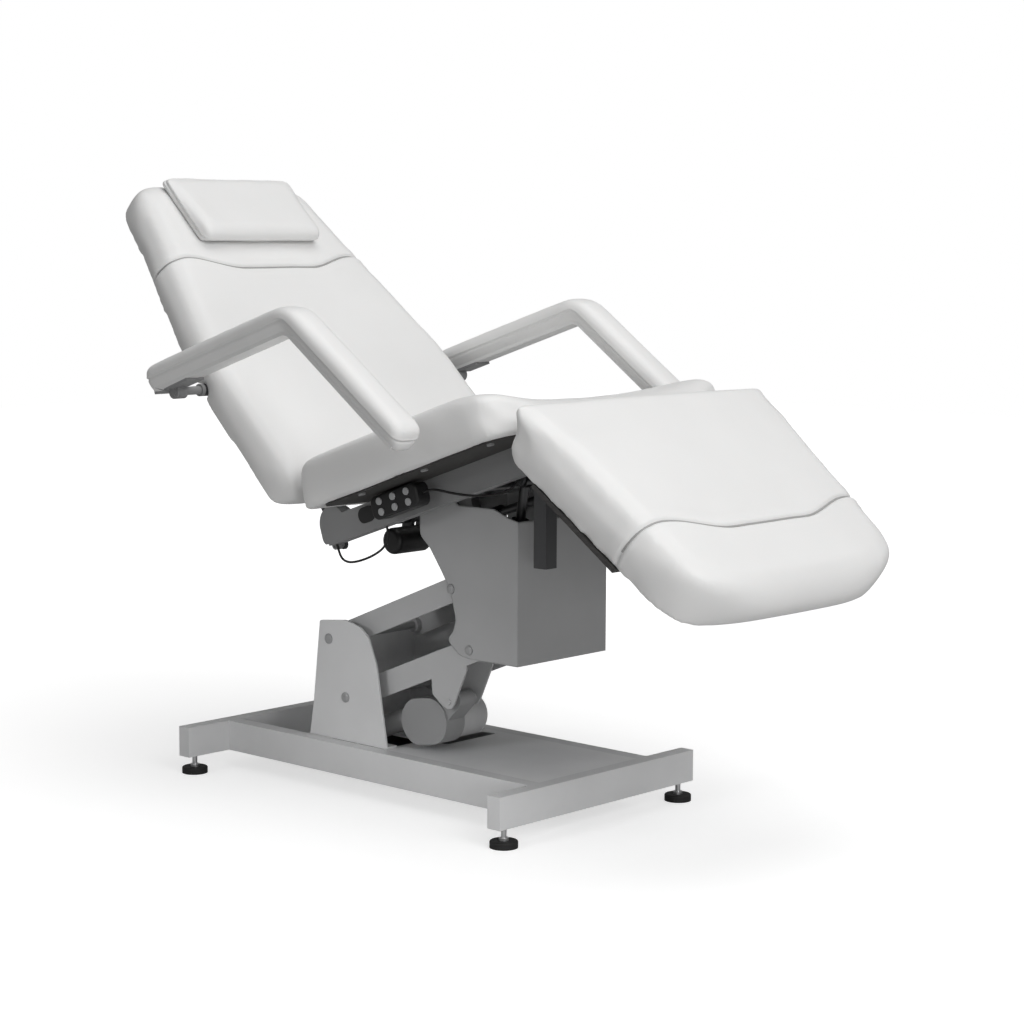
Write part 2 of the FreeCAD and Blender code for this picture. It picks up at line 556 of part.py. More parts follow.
# seat board and cushion
INSET = 28.0
board = plate_xy([(SEAT_U0 + 30, -SEAT_HALF + INSET), (SEAT_U1 - 26, -SEAT_HALF + INSET),
                  (SEAT_U1 - 26, SEAT_HALF - INSET), (SEAT_U0 + 30, SEAT_HALF - INSET)], SEAT_W0, SEAT_W0 + BOARD_T, [25, 60, 60, 25])
keep("seat_board", local(board, 0, 0, SEAT_TILT))
prof = [(SEAT_U0, SEAT_W0), (SEAT_U1, SEAT_W0), (SEAT_U1, SEAT_W0 + 46), (SEAT_U1 - 32, SEAT_W1 - 12), (SEAT_U1 - 120, SEAT_W1),
        (SEAT_U0 + 13, SEAT_W1)]
cush = plate_xz(prof, -SEAT_HALF, SEAT_HALF, [8, 14, 16, 60, 200, 22])
plan = plate_xy([(SEAT_U0 - 1, -SEAT_HALF), (SEAT_U1 + 1, -SEAT_HALF), (SEAT_U1 + 1, SEAT_HALF), (SEAT_U0 - 1, SEAT_HALF)],
                SEAT_W0 - 10, SEAT_W1 + 10, [10, 80, 80, 10])
cush = cush.common(plan).Solids[0]
cush = soften(cush, 16.0, lambda e: e.BoundBox.ZMin > SEAT_W0 + 20 and
              any(abs(abs(q.Point.y) - SEAT_HALF) < 0.5 for q in e.Vertexes) and e.BoundBox.ZMax > SEAT_W1 - 60 and
              abs(abs(e.CenterOfMass.y) - SEAT_HALF) < 40)
pocket = plate_xy([(SEAT_U0 + 29.7, -SEAT_HALF + INSET - .3), (SEAT_U1 - 25.7, -SEAT_HALF + INSET - .3),
                   (SEAT_U1 - 25.7, SEAT_HALF - INSET + .3), (SEAT_U0 + 29.7, SEAT_HALF - INSET + .3)], SEAT_W0 - 1, SEAT_W0 + BOARD_T + 0.3, [25, 60, 60, 25])
cush = cut(cush, pocket)
keep("seat_cushion", local(cush, 0, 0, SEAT_TILT))

# screws up into the board along both sides of the seat
bolts = []
for u in (300, 470, 640):
    for y in (-286, 286):
        b = Part.makeCylinder(7, 4, V(u, y, SEAT_W0 - 4))
        bolts.append(local(soften(b, 1.5, lambda e: abs(e.BoundBox.ZMax - SEAT_W0 + 4) < 0.01), 0, 0, SEAT_TILT))
keep("seat_board_screws", *bolts)

# square socket tube for a foot bowl or tray, hung from the front of the frame
SOCK_X, SOCK_Y0, SOCK_Y1 = 422.0, -150.0, -121.0
sock = box(SOCK_X - 14.5, SOCK_X + 14.5, SOCK_Y0, SOCK_Y1, 487, 690)
sock = cut(sock, box(SOCK_X - 12, SOCK_X + 12, SOCK_Y0 + 2.5, SOCK_Y1 - 2.5, 480, 655))
u0, w0 = seat_uw(SOCK_X, 0)
topcut = local(box(0, 900, -200, 200, CH_W0 + 33, 900), 0, 0, SEAT_TILT)
sock = cut(sock, topcut)
front_bar = local(cut(box(646, 668, -CH_Y0, CH_Y0, CH_W0 + 14, CH_W0 + 34), box(649, 665, -CH_Y0 - 1, CH_Y0 + 1, CH_W0 + 17, CH_W0 + 31)), 0, 0, SEAT_TILT)
sock = cut(sock, local(box(640, 674, -CH_Y0, CH_Y0, CH_W0 + 14, CH_W0 + 60), 0, 0, SEAT_TILT))
u_s, w_s = seat_uw(SOCK_X, 655)
strap = local(box(620, 646, -CH_Y0 + 0.0, -118, CH_W0 + 14, CH_W0 + 34), 0, 0, SEAT_TILT)
sock = fuse(sock, strap, front_bar)
if len(sock.Solids) > 1:
    print("socket tube in pieces", len(sock.Solids))
keep("front_bar_with_socket", sock)

# ------------------------------------------------------------------ backrest
hs, hn = back_sn(*HIP)
BT_Y0, BT_Y1 = 105.0, 130.0
EAR_Y0, EAR_Y1 = 145.4, 151.4


def bl(s):
    """local axes here: a = -s, b = n"""
    return local(s, BACK_O[0], BACK_O[1], -BACK_ANG)


def bpl(pts, y0, y1, r=0.0):
    return plate_xz([(-p[0], p[1]) for p in pts], y0, y1, r)


def bcyl(s, n, y0, y1, r):
    return cyl_y(-s, n, y0, y1, r)


frame_parts = []
for sy in (-1, 1):
    y0, y1 = sorted((sy * BT_Y0, sy * BT_Y1))
    frame_parts.append(bpl([(20, -27), (640, -27), (640, -2), (20, -2)], y0, y1, 3))
    ya, yb = sorted((sy * EAR_Y0, sy * EAR_Y1))
    frame_parts.append(bpl([(hs - 20, hn - 8), (hs - 8, hn - 20), (30, -27), (110, -27), (110, -2), (40, -2), (hs + 6, hn + 20), (hs - 14, hn + 18)],
                           ya, yb, [12, 12, 20, 4, 4, 20, 14, 12]))
    yc, yd = sorted((sy * BT_Y1, sy * EAR_Y0))
    frame_parts.append(bpl([(60, -25), (106, -25), (106, -4), (60, -4)], yc, yd, 2))
for s0 in (150, 600):
    frame_parts.append(bpl([(s0, -27), (s0 + 25, -27), (s0 + 25, -2), (s0, -2)], -BT_Y0, BT_Y0, 3))
frame_parts.append(bcyl(hs, hn, -EAR_Y0, EAR_Y0, 14))
bks, bkn = back_sn(*BK)
for y0 in (BA_Y - 23, BA_Y + 15):
    frame_parts.append(belt_plate((-hs, hn), 14.0, (-bks, bkn), 11.0, y0, y0 + 8))
bframe = bl(fuse(*frame_parts))
bframe = cut(bframe, cyl_y(HIP[0], HIP[1], -200, 200, HINGE_R + FIT))
bframe = fuse(bframe, cyl_y(BK[0], BK[1], BA_Y - 26, BA_Y + 26, 6))

# bosses that carry the armrest shafts
PV = back_xz(ARM_PIVOT_S, ARM_PIVOT_N)
boss = []
for sy in (-1, 1):
    y0, y1 = sorted((sy * 176.0, sy * 322.0))
    b = bcyl(ARM_PIVOT_S, ARM_PIVOT_N, y0, y1, 12)
    ya, yb = sorted((sy * 176.0, sy * 196.0))
    b = fuse(b, bpl([(ARM_PIVOT_S - 12, -27), (ARM_PIVOT_S + 12, -27), (ARM_PIVOT_S + 12, ARM_PIVOT_N), (ARM_PIVOT_S - 12, ARM_PIVOT_N)], ya, yb))
    yc, yd = sorted((sy * 130.0, sy * 196.0))
    b = cut(b, bcyl(ARM_PIVOT_S, ARM_PIVOT_N, y0 - 1, y1 + 1, HINGE_R + FIT))
    b = fuse(b, bpl([(ARM_PIVOT_S + 42, -27), (ARM_PIVOT_S + 64, -27), (ARM_PIVOT_S + 64, -2), (ARM_PIVOT_S + 42, -2)], yc, yd))
    b = fuse(b, bpl([(ARM_PIVOT_S - 12, -27), (ARM_PIVOT_S + 64, -27), (ARM_PIVOT_S + 64, -2), (ARM_PIVOT_S - 12, -2)], ya, yb))
    boss.append(bl(b))
bframe = fuse(bframe, *boss)
keep("backrest_frame", bframe)


def back_plan(inset, s0, s1, r_low, r_top, n0, n1):
    def half(s):
        return BACK_HALF - max(0.0, s - BACK_TAPER_S) * BACK_TAPER - inset
    pts = [(-s0, -half(s0)), (-BACK_TAPER_S, -half(BACK_TAPER_S)), (-s1, -half(s1)), (-s1, half(s1)), (-BACK_TAPER_S, half(BACK_TAPER_S)), (-s0, half(s0))]
    return plate_xy(pts, n0, n1, [r_low, 300, r_top, r_top, 300, r_low])


bb = back_plan(28, BACK_S0 + 40, BACK_S1 - 26, 15, 50, 0, BOARD_T)
bc = back_plan(0, BACK_S0, BACK_S1, 20, 72, 0, BACK_T)
bprof = bpl([(BACK_S0, 0), (BACK_S1, 0), (BACK_S1, BACK_T), (BACK_S0, BACK_T)], -400, 400, [36, 8, 26, 34])
bc = bc.common(bprof)
bpock = back_plan(27.7, BACK_S0 + 39.7, BACK_S1 - 25.7, 15, 50, -1, BOARD_T + 0.3)
bc = cut(bc, bpock)
for sy in (-1, 1):
    y0, y1 = sorted((sy * 150.0, sy * 345.0))
    tool = bcyl(ARM_PIVOT_S, ARM_PIVOT_N, y0, y1, 12.6)
    tool = fuse(tool, bpl([(ARM_PIVOT_S - 12.6, -5), (ARM_PIVOT_S + 12.6, -5), (ARM_PIVOT_S + 12.6, ARM_PIVOT_N), (ARM_PIVOT_S - 12.6, ARM_PIVOT_N)], y0, y1))
    ya, yb = sorted((sy * 128.0, sy * 175.0))
    slot = bpl([(ARM_PIVOT_S - 66, -5), (ARM_PIVOT_S + 66, -5), (ARM_PIVOT_S + 66, 34), (ARM_PIVOT_S - 66, 34)], ya, yb, 4)
    bb = cut(bb, tool, slot)
    bc = cut(bc, tool, slot)
keep("backrest_board", bl(bb))
if len(bc.Solids) > 1:
    bc = max(bc.Solids, key=lambda t: t.Volume)
keep("backrest_cushion", bl(bc))

# pillow on its hook and loop pad
pl_prof = bpl([(597, BACK_T + 0.5), (786, BACK_T + 0.5), (786, BACK_T + 34), (597, BACK_T + 46)], -168, 168, [6, 6, 18, 18])
keep("pillow", bl(soften(pl_prof, 10, lambda e: abs(abs(e.CenterOfMass.y) - 168) < 0.5 and e.BoundBox.ZMin > BACK_T + 20)))


# ------------------------------------------------------------------ armrests
# side outline of the pad: level part, bend, drop beside the seat


def offset_path(path, d):
    out = []
    for i, p in enumerate(path):
        a = path[max(i - 1, 0)]
        b = path[min(i + 1, len(path) - 1)]
        if 0 < i < len(path) - 1:
            u1 = direction(path[i - 1], p)
            u2 = direction(p, path[i + 1])
            n1 = (-u1[1], u1[0])
            n2 = (-u2[1], u2[0])
            m = (n1[0] + n2[0], n1[1] + n2[1])
            k = d * 2 / (m[0] ** 2 + m[1] ** 2)
            out.append((p[0] + m[0] * k, p[1] + m[1] * k))
        else:
            u = direction(a, b)
            out.append((p[0] - u[1] * d, p[1] + u[0] * d))
    return out


ARM_UNDER = [(-340, 773.6), (42.5, 898.5), (320, 702)]
board_lo = ARM_UNDER
board_hi = offset_path(ARM_UNDER, 8)
pad_lo = offset_path(ARM_UNDER, 8.0)
pad_hi = offset_path(ARM_UNDER, 52.0)


def ext(path, e0, e1):
    a, b = path[0], path[1]
    u = direction(a, b)
    c, d = path[-2], path[-1]
    v = direction(c, d)
    return [(a[0] - u[0] * e0, a[1] - u[1] * e0)] + path[1:-1] + [(d[0] + v[0] * e1, d[1] + v[1] * e1)]


def strip(lo, hi, y0, y1, r_in, r_out, r_end):
    pts = list(lo) + list(hi[::-1])
    return plate_xz(pts, y0, y1, [r_end, r_in, r_end, r_end, r_out, r_end])


arm_brd = strip(ext(board_lo, -12, -12), ext(board_hi, -12, -12), ARMREST_Y0 + 17, ARMREST_Y1 - 17, 25, 33, 1.5)
arm_pad = plate_xz(list(ext(pad_lo, 0, 0)) + list(ext(pad_hi, 0, 0)[::-1]), ARMREST_Y0, ARMREST_Y1, [8, 33, 8, 32, 77, 32])


def under_gap(x, z):
    """distance from the underside line of the armrest"""
    best = 1e9
    for a, b in zip(ARM_UNDER[:-1], ARM_UNDER[1:]):
        ux1, uz1, l1 = direction(a, b)
        t_ = max(0.0, min(l1, (x - a[0]) * ux1 + (z - a[1]) * uz1))
        best = min(best, math.hypot(x - a[0] - ux1 * t_, z - a[1] - uz1 * t_))
    return best


arm_pad = soften(arm_pad, 21.0, lambda e: abs(abs(e.CenterOfMass.y - 390) - 38) < 0.1 and under_gap(e.CenterOfMass.x, e.CenterOfMass.z) > 33)
PX, PZ = PV
hub_y0, hub_y1 = 368.0, 392.0
au = direction(ARM_UNDER[0], ARM_UNDER[1])
bx0, bz0 = ARM_UNDER[0]


def under(x, d):
    t = (x - bx0) / au[0]
    return (bx0 + au[0] * t - au[1] * d, bz0 + au[1] * t + au[0] * d)


hub = cyl_y(PX, PZ, hub_y0, hub_y1, 14)
for sy, tag in ((-1, "right"), (1, "left")):
    def m(s):
        return s if sy > 0 else mirror_y(s)
    keep("armrest_%s_pad" % tag, m(arm_pad))
    pa, pb = under(PX - 34, 0), under(PX + 60, 0)
    pc, pd = under(PX + 60, -5), under(PX - 34, -5)
    br = plate_xz([pa, pb, pc, pd], ARMREST_Y0 + 16, ARMREST_Y1 - 17, 0)
    br = fuse(br, hub)
    br = cut(br, plate_xz([under(-500, 0), under(100, 0), under(100, 80), under(-500, 80)], 300, 450, 0))
    br = cut(br, cyl_y(PX, PZ, 300, 450, HINGE_R + FIT))
    br = fuse(br, arm_brd)
    br = cut(br, cyl_y(PX, PZ, 300, 450, HINGE_R + FIT))
    keep("armrest_%s_tray" % tag, m(br))
    # shaft with the crank that the levelling link holds
    cdx, cdz = -0.31 * CRANK / math.hypot(0.31, 0.95), -0.95 * CRANK / math.hypot(0.31, 0.95)
    sh = fuse(cyl_y(PX, PZ, 160, 394, HINGE_R), cyl_y(PX, PZ, 322.5, 330, 12))
    ux_, uz_ = cdx / CRANK, cdz / CRANK
    crank = plate_xz([(PX - uz_ * 11, PZ + ux_ * 11), (PX + uz_ * 11, PZ - ux_ * 11),
                      (PX + cdx + uz_ * 9, PZ + cdz - ux_ * 9), (PX + cdx - uz_ * 9, PZ + cdz + ux_ * 9)], 160, 166, 0)
    crank = fuse(crank, cyl_y(PX, PZ, 160, 166, 12), cyl_y(PX + cdx, PZ + cdz, 160, 166, 9), sh,
                 cyl_y(PX + cdx, PZ + cdz, 132, 166, 5))
    keep("armrest_%s_crank" % tag, m(crank))
    lx, lz = HIP[0] + cdx, HIP[1] + cdz
    ex, ez = PX + cdx, PZ + cdz
    q = direction((lx, lz), (ex, ez))
    link = plate_xz([(lx + q[1] * 7, lz - q[0] * 7), (ex + q[1] * 7, ez - q[0] * 7), (ex - q[1] * 7, ez + q[0] * 7), (lx - q[1] * 7, lz + q[0] * 7)], 134.5, 139.5)
    link = fuse(link, cyl_y(lx, lz, 134.5, 139.5, 10), cyl_y(ex, ez, 134.5, 139.5, 10))
    link = cut(link, cyl_y(lx, lz, 100, 200, 5 + FIT), cyl_y(ex, ez, 100, 200, 5.6))
    keep("levelling_link_%s" % tag, m(link))

# ------------------------------------------------------------------ backrest actuator
bdx, bdz, blen = direction(BK, BA0)


def ba(t, off=0.0):
    return (BK[0] + bdx * t - bdz * off, BK[1] + bdz * t + bdx * off)


g2 = plate_xz([ba(-15, -17), ba(66, -19), ba(66, 19), ba(-15, 17)], BA_Y - 14.5, BA_Y + 14.5, 12)
t2 = rod(V(ba(62)[0], BA_Y, ba(62)[1]), V(ba(255)[0], BA_Y, ba(255)[1]), 14)
b2 = cut(fuse(g2, t2), cyl_y(BK[0], BK[1], 0, 150, 6 + FIT), rod(V(ba(72)[0], BA_Y, ba(72)[1]), V(ba(262)[0], BA_Y, ba(262)[1]), 9 + FIT))
mp = ba(42, 0)
m2 = soften(rod(V(mp[0], BA_Y - 14.5, mp[1]), V(mp[0], BA_Y - 100, mp[1]), 26), 9.0, lambda e: e.BoundBox.YMax < BA_Y - 99.9)
m2 = cut(m2, bframe)
keep("backrest_actuator_body", fuse(b2, m2))
r2 = fuse(rod(V(ba(150)[0], BA_Y, ba(150)[1]), V(ba(blen - 10)[0], BA_Y, ba(blen - 10)[1]), 9), cyl_y(BA0[0], BA0[1], BA_Y - 8, BA_Y + 8, 20))
keep("backrest_actuator_rod", cut(r2, cyl_y(BA0[0], BA0[1], 0, 150, 5 + 9.4)))

# ------------------------------------------------------------------ leg rest
ks, kn = leg_sn(*KNEE)


def ll(s):
    return local(s, LEG_O[0], LEG_O[1], LEG_ANG)


def leg_plan(inset, s0, s1, r0, r1, n0, n1):
    def half(s):
        return 344.0 - 84.0 * s / 1000.0 - inset
    pts = [(s0, -half(s0)), (s1 - 55, -half(s1) + 4), (s1, -half(s1) * 0.5), (s1, half(s1) * 0.5), (s1 - 55, half(s1) - 4), (s0, half(s0))]
    return plate_xy(pts, n0, n1, [r0, r1, 260, 260, r1, r0])


lc = leg_plan(0, LEG_S0 - 30, LEG_S1, 12, 95, 0, LEG_T)
lprof = plate_xz([(LEG_S0, 0), (LEG_S1, 0), (LEG_S1, LEG_T), (LEG_S0 - 24, LEG_T), (LEG_S0 + 1, 56)], -400, 400, [26, 48, 48, 22, 24])
lc = lc.common(lprof)
lb = leg_plan(30, LEG_S0 + 30, LEG_S1 - 45, 12, 60, 0, BOARD_T)
lc = cut(lc, leg_plan(29.7, LEG_S0 + 29.7, LEG_S1 - 44.7, 12, 60, -1, BOARD_T + 0.3))
keep("leg_rest_cushion", ll(lc))
# edge strips of the board, seen along the lower edge of the cushion
for sy in (-1, 1):
    e0, e1 = 344.0 - 84.0 * 0.135 - 7, 344.0 - 84.0 * 0.345 - 7
    lb = fuse(lb, plate_xy([(135, sy * 165), (345, sy * 165), (345, sy * e1), (135, sy * e0)], -8, -0.3, 0),
              plate_xy([(140, sy * 168), (340, sy * 168), (340, sy * 260), (140, sy * 260)], -4, 4, 0))
keep("leg_rest_board", ll(lb))
lf = []
for sy in (-1, 1):
    ya, yb = sorted((sy * EAR_Y0, sy * EAR_Y1))
    lf.append(plate_xz([(ks - 16, kn + 12), (ks - 16, kn - 14), (ks + 20, kn - 18), (260, -26), (260, -1), (LEG_S0 + 8, -1), (ks + 14, kn + 14)], ya, yb,
                       [12, 12, 10, 6, 2, 10, 8]))
    yc, yd = sorted((sy * 120.4, sy * EAR_Y0))
    lf.append(plate_xz([(120, -26), (470, -26), (470, -1), (120, -1)], yc, yd, 3))
lf.append(cyl_y(ks, kn, -EAR_Y0, EAR_Y0, 13))
for s0 in (200, 440):
    lf.append(plate_xz([(s0, -26), (s0 + 25, -26), (s0 + 25, -1), (s0, -1)], -121, 121, 3))
# gas spring lever on the left ear
LEV, LEV_ANG = 45.0, -112.7
lev_u, lev_w = knee_u + LEV * math.cos(math.radians(LEV_ANG)), knee_w + LEV * math.sin(math.radians(LEV_ANG))
LM = seat_xz(lev_u, lev_w)
lms, lmn = leg_sn(*LM)
lf.append(belt_plate((ks, kn), 14.0, (lms, lmn), 9.0, EAR_Y0, EAR_Y1))
lf.append(cyl_y(lms, lmn, 128, EAR_Y0 + 1, 4))
lframe = ll(fuse(*lf))
lframe = cut(lframe, cyl_y(KNEE[0], KNEE[1], -200, 200, HINGE_R + FIT))
keep("leg_rest_frame", lframe)

# gas spring of the leg rest
GA = seat_xz(knee_u - 300.0, 500.0)
GY = 134.0
gdx, gdz, glen = direction(GA, LM)


def gs(t):
    return V(GA[0] + gdx * t, GY, GA[1] + gdz * t)


gc = fuse(rod(gs(8), gs(172), 9), cyl_y(GA[0], GA[1], GY - 5, GY + 5, 10))
gc = cut(gc, cyl_y(GA[0], GA[1], 0, 200, 4 + FIT), rod(gs(20), gs(180), 4 + FIT))
keep("gas_spring_cylinder", gc)
gr_ = fuse(rod(gs(60), gs(glen - 8), 4), cyl_y(LM[0], LM[1], GY - 4.5, GY + 4.5, 12.5))
keep("gas_spring_rod", cut(gr_, cyl_y(LM[0], LM[1], 0, 200, 4 + 4.7)))
keep("seat_left_channel", fuse(chan[0], cyl_y(GA[0], GA[1], GY - 6, CH_Y1 - 1, 4)))

# ------------------------------------------------------------------ hand control
HC_U, HC_W = 330.0, 506.0     # under the near edge of the seat
HY0, HY1 = -236.0, -205.0


def hl(s):
    return local(s, 0, 0, SEAT_TILT)


hc = plate_xz([(262, 492), (388, 492), (388, 536), (262, 536)], HY0, HY1, [14, 14, 14, 14])
hc = soften(hc, 4.0, lambda e: abs(e.CenterOfMass.y - HY0) < 0.1)
pos = []
btn = []
for i, u in enumerate((288, 325, 362)):
    for j, w in enumerate((504, 524)):
        hc = cut(hc, cyl_y(u, w, HY0 - 1, HY0 + 8, 7.2))
        b = cyl_y(u, w, HY0 - 2.5, HY0 + 4, 7.0)
        btn.append(hl(soften(b, 1.0, lambda e: abs(e.BoundBox.YMax - HY0 + 2.5) < 0.01)))
keep("hand_control_body", hl(hc))
for i, b in enumerate(btn, 1):
    keep("hand_control_button_%d" % i, b)
hook = fuse(box(300, 350, HY1, HY1 + 4, 500, SEAT_W0), box(300, 350, HY1, HY1 + 24.8, SEAT_W0 - 4, SEAT_W0))
keep("hand_control_holder", hl(hook))


# ------------------------------------------------------------------ cables
def cable(name, pts, r):
    """round cable through straight runs joined by tangent arcs"""
    edges, prev, radii = [], pts[0], []
    total = 0.0
    for i in range(1, len(pts) - 1):
        a, b, c = pts[i - 1], pts[i], pts[i + 1]
        u, v = b.sub(a), c.sub(b)
        lu, lv = u.Length, v.Length
        u, v = u / lu, v / lv
        ang = math.acos(max(-1, min(1, u.dot(v))))
        d = 0.45 * min(lu, lv)
        rad = d / math.tan(ang / 2)
        radii.append(round(rad, 1))
        t0, t1 = b.sub(u * d), b.add(v * d)
        m = v.sub(u)
        m.normalize()
        mid = b.add(m * (rad / math.cos(ang / 2) - rad))
        edges.append(Part.LineSegment(prev, t0).toShape())
        edges.append(Part.Arc(t0, mid, t1).toShape())
        total += prev.distanceToPoint(t0) + rad * ang
        prev = t1
    edges.append(Part.LineSegment(prev, pts[-1]).toShape())
    total += prev.distanceToPoint(pts[-1])
    path = Part.Wire(edges)
    d0 = pts[1].sub(pts[0])
    circ = Part.Wire([Part.makeCircle(r, pts[0], d0)])
    s = path.makePipeShell([circ], True, False)
    print(name, "length", round(total, 1), "volume ratio", round(s.Volume / (math.pi * r * r * total), 4), "radii", radii)
    keep(name, s)
    return total


def su(u, w, y):
    x, z = seat_xz(u, w)
    return V(x, y, z)


HC_PTS = [su(388, 514, -220), su(406, 514, -220), su(424, 509, -219), su(443, 499, -214), su(463, 489, -206),
          su(484, 480, -196), su(505, 474, -184), su(525, 471, -169), su(543, 475, -154), su(556, 487, -143), su(563, 504, -137),
          su(565, 522, -136), su(565.2, SEAT_W0, -136.2)]
cable("hand_control_cable", HC_PTS, 2.25)

# lead of the backrest actuator, clipped under the rear of the right channel
LOOP_PTS = [su(76, CH_W0, -166), su(76, 465.5, -166), su(87, 451.5, -167), su(107, 444, -168), su(140, 441.5, -168.5), su(172, 443.5, -168),
            su(197, 449, -167.5), su(212, 459, -167), su(220, 472, -166), su(220, CH_W0, -166)]
cable("actuator_lead_loop", LOOP_PTS, 2.25)

# plastic covers over the hinge ends of both channels
caps = []
for sy in (-1, 1):
    y0, y1 = sorted((sy * CH_Y1, sy * (CH_Y1 + 2.5)))
    caps.append(local(plate_xz([(168, 504), (212, 504), (212, 534), (168, 534)], y0, y1, 14.4), 0, 0, SEAT_TILT))
keep("channel_round_covers", *caps)

for name in sorted(OUT):
    shapes = OUT[name]
    c = shapes[0] if len(shapes) == 1 else Part.makeCompound(shapes)
    c.exportStep("parts/%s.step" % name)
bb_ = None
for name in OUT:
    for s in OUT[name]:
        if bb_ is None:
            bb_ = s.BoundBox
        else:
            bb_.add(s.BoundBox)
print(len(OUT), "nodes; box", [round(v, 1) for v in (bb_.XMin, bb_.XMax, bb_.YMin, bb_.YMax, bb_.ZMin, bb_.ZMax)])
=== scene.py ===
import bpy
import json
import math
import numpy as np
from mathutils import Matrix, Vector
from mathutils.bvhtree import BVHTree


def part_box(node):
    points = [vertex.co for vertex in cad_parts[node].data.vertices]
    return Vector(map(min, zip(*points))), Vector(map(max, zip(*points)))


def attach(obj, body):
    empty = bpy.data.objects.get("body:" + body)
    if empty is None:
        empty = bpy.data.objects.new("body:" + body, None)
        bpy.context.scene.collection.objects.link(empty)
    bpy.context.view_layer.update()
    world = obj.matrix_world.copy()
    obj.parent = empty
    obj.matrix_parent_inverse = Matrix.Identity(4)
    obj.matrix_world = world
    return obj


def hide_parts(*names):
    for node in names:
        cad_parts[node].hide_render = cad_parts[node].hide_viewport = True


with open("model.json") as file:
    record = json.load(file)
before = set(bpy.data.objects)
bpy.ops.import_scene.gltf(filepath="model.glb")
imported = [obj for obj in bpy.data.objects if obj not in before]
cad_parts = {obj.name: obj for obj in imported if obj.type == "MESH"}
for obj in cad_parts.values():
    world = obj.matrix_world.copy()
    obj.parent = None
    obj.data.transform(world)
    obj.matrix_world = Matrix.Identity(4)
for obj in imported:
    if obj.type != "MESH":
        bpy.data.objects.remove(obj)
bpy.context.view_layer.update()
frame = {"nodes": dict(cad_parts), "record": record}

XS = -0.12737
NODES = frame["nodes"]


# ------------------------------------------------------------------ local axes of the three soft parts
def axes(ox, oz, deg, flip):
    """(origin, along, square) in the row frame; flip: along runs towards -X and up"""
    a = math.radians(deg)
    if flip:
        along = np.array([-math.cos(a), 0.0, math.sin(a)])
        square = np.array([math.sin(a), 0.0, math.cos(a)])
    else:
        along = np.array([math.cos(a), 0.0, math.sin(a)])
        square = np.array([-math.sin(a), 0.0, math.cos(a)])
    return np.array([ox + XS, 0.0, oz]), along, square


BACK = axes(-0.0945, 0.5751, 43.5, True)
SEAT = axes(0.0, 0.0, 19.0, False)
LEG = axes(0.460, 0.747, -38.4, False)


def to_local(co, ax):
    o, a, b = ax
    d = co - o
    return np.stack([d @ a, d[:, 1], d @ b], axis=1)


def to_world(q, ax):
    o, a, b = ax
    out = o + q[:, 0:1] * a + q[:, 2:3] * b
    out[:, 1] = q[:, 1]
    return out


def sstep(x, a, b):
    t = np.clip((x - a) / (b - a), 0.0, 1.0)
    return t * t * (3 - 2 * t)


# ------------------------------------------------------------------ mesh helpers
def get_co(me):
    co = np.empty(len(me.vertices) * 3, dtype=np.float64)
    me.vertices.foreach_get("co", co)
    return co.reshape(-1, 3)


def set_co(me, co):
    me.vertices.foreach_set("co", np.ascontiguousarray(co, dtype=np.float32).ravel())
    me.update()


def get_no(me):
    no = np.empty(len(me.vertices) * 3, dtype=np.float32)
    me.vertex_normals.foreach_get("vector", no)
    return no.reshape(-1, 3).astype(np.float64)


def get_edges(me):
    e = np.empty(len(me.edges) * 2, dtype=np.int32)
    me.edges.foreach_get("vertices", e)
    return e.reshape(-1, 2)


def relax(me, rounds, keep=None, factor=0.5):
    """evens out the surface; keep: 0..1 per vertex, 1 moves freely"""
    co = get_co(me)
    e = get_edges(me)
    n = len(co)
    deg = np.bincount(e.ravel(), minlength=n).astype(np.float64)[:, None]
    k = factor if keep is None else factor * keep[:, None]
    for _ in range(rounds):
        acc = np.zeros_like(co)
        for c in range(3):
            acc[:, c] = np.bincount(e[:, 0], co[e[:, 1], c], n) + np.bincount(e[:, 1], co[e[:, 0], c], n)
        co = co + (acc / np.maximum(deg, 1) - co) * k
    set_co(me, co)


def bake(obj):
    """applies whatever modifiers the object has"""
    dg = bpy.context.evaluated_depsgraph_get()
    me = bpy.data.meshes.new_from_object(obj.evaluated_get(dg), depsgraph=dg)
    obj.modifiers.clear()
    old = obj.data
    obj.data = me
    bpy.data.meshes.remove(old)
    return me


def soft_copy(node, name, voxel):
    src = NODES[node]
    me = src.data.copy()
    me.name = name
    me.materials.clear()
    obj = bpy.data.objects.new(name, me)
    bpy.context.scene.collection.objects.link(obj)
    m = obj.modifiers.new("weld", "WELD")
    m.merge_threshold = 0.00005
    r = obj.modifiers.new("remesh", "REMESH")
    r.mode = "VOXEL"
    r.voxel_size = voxel
    r.use_smooth_shade = True
    bake(obj)
    return obj


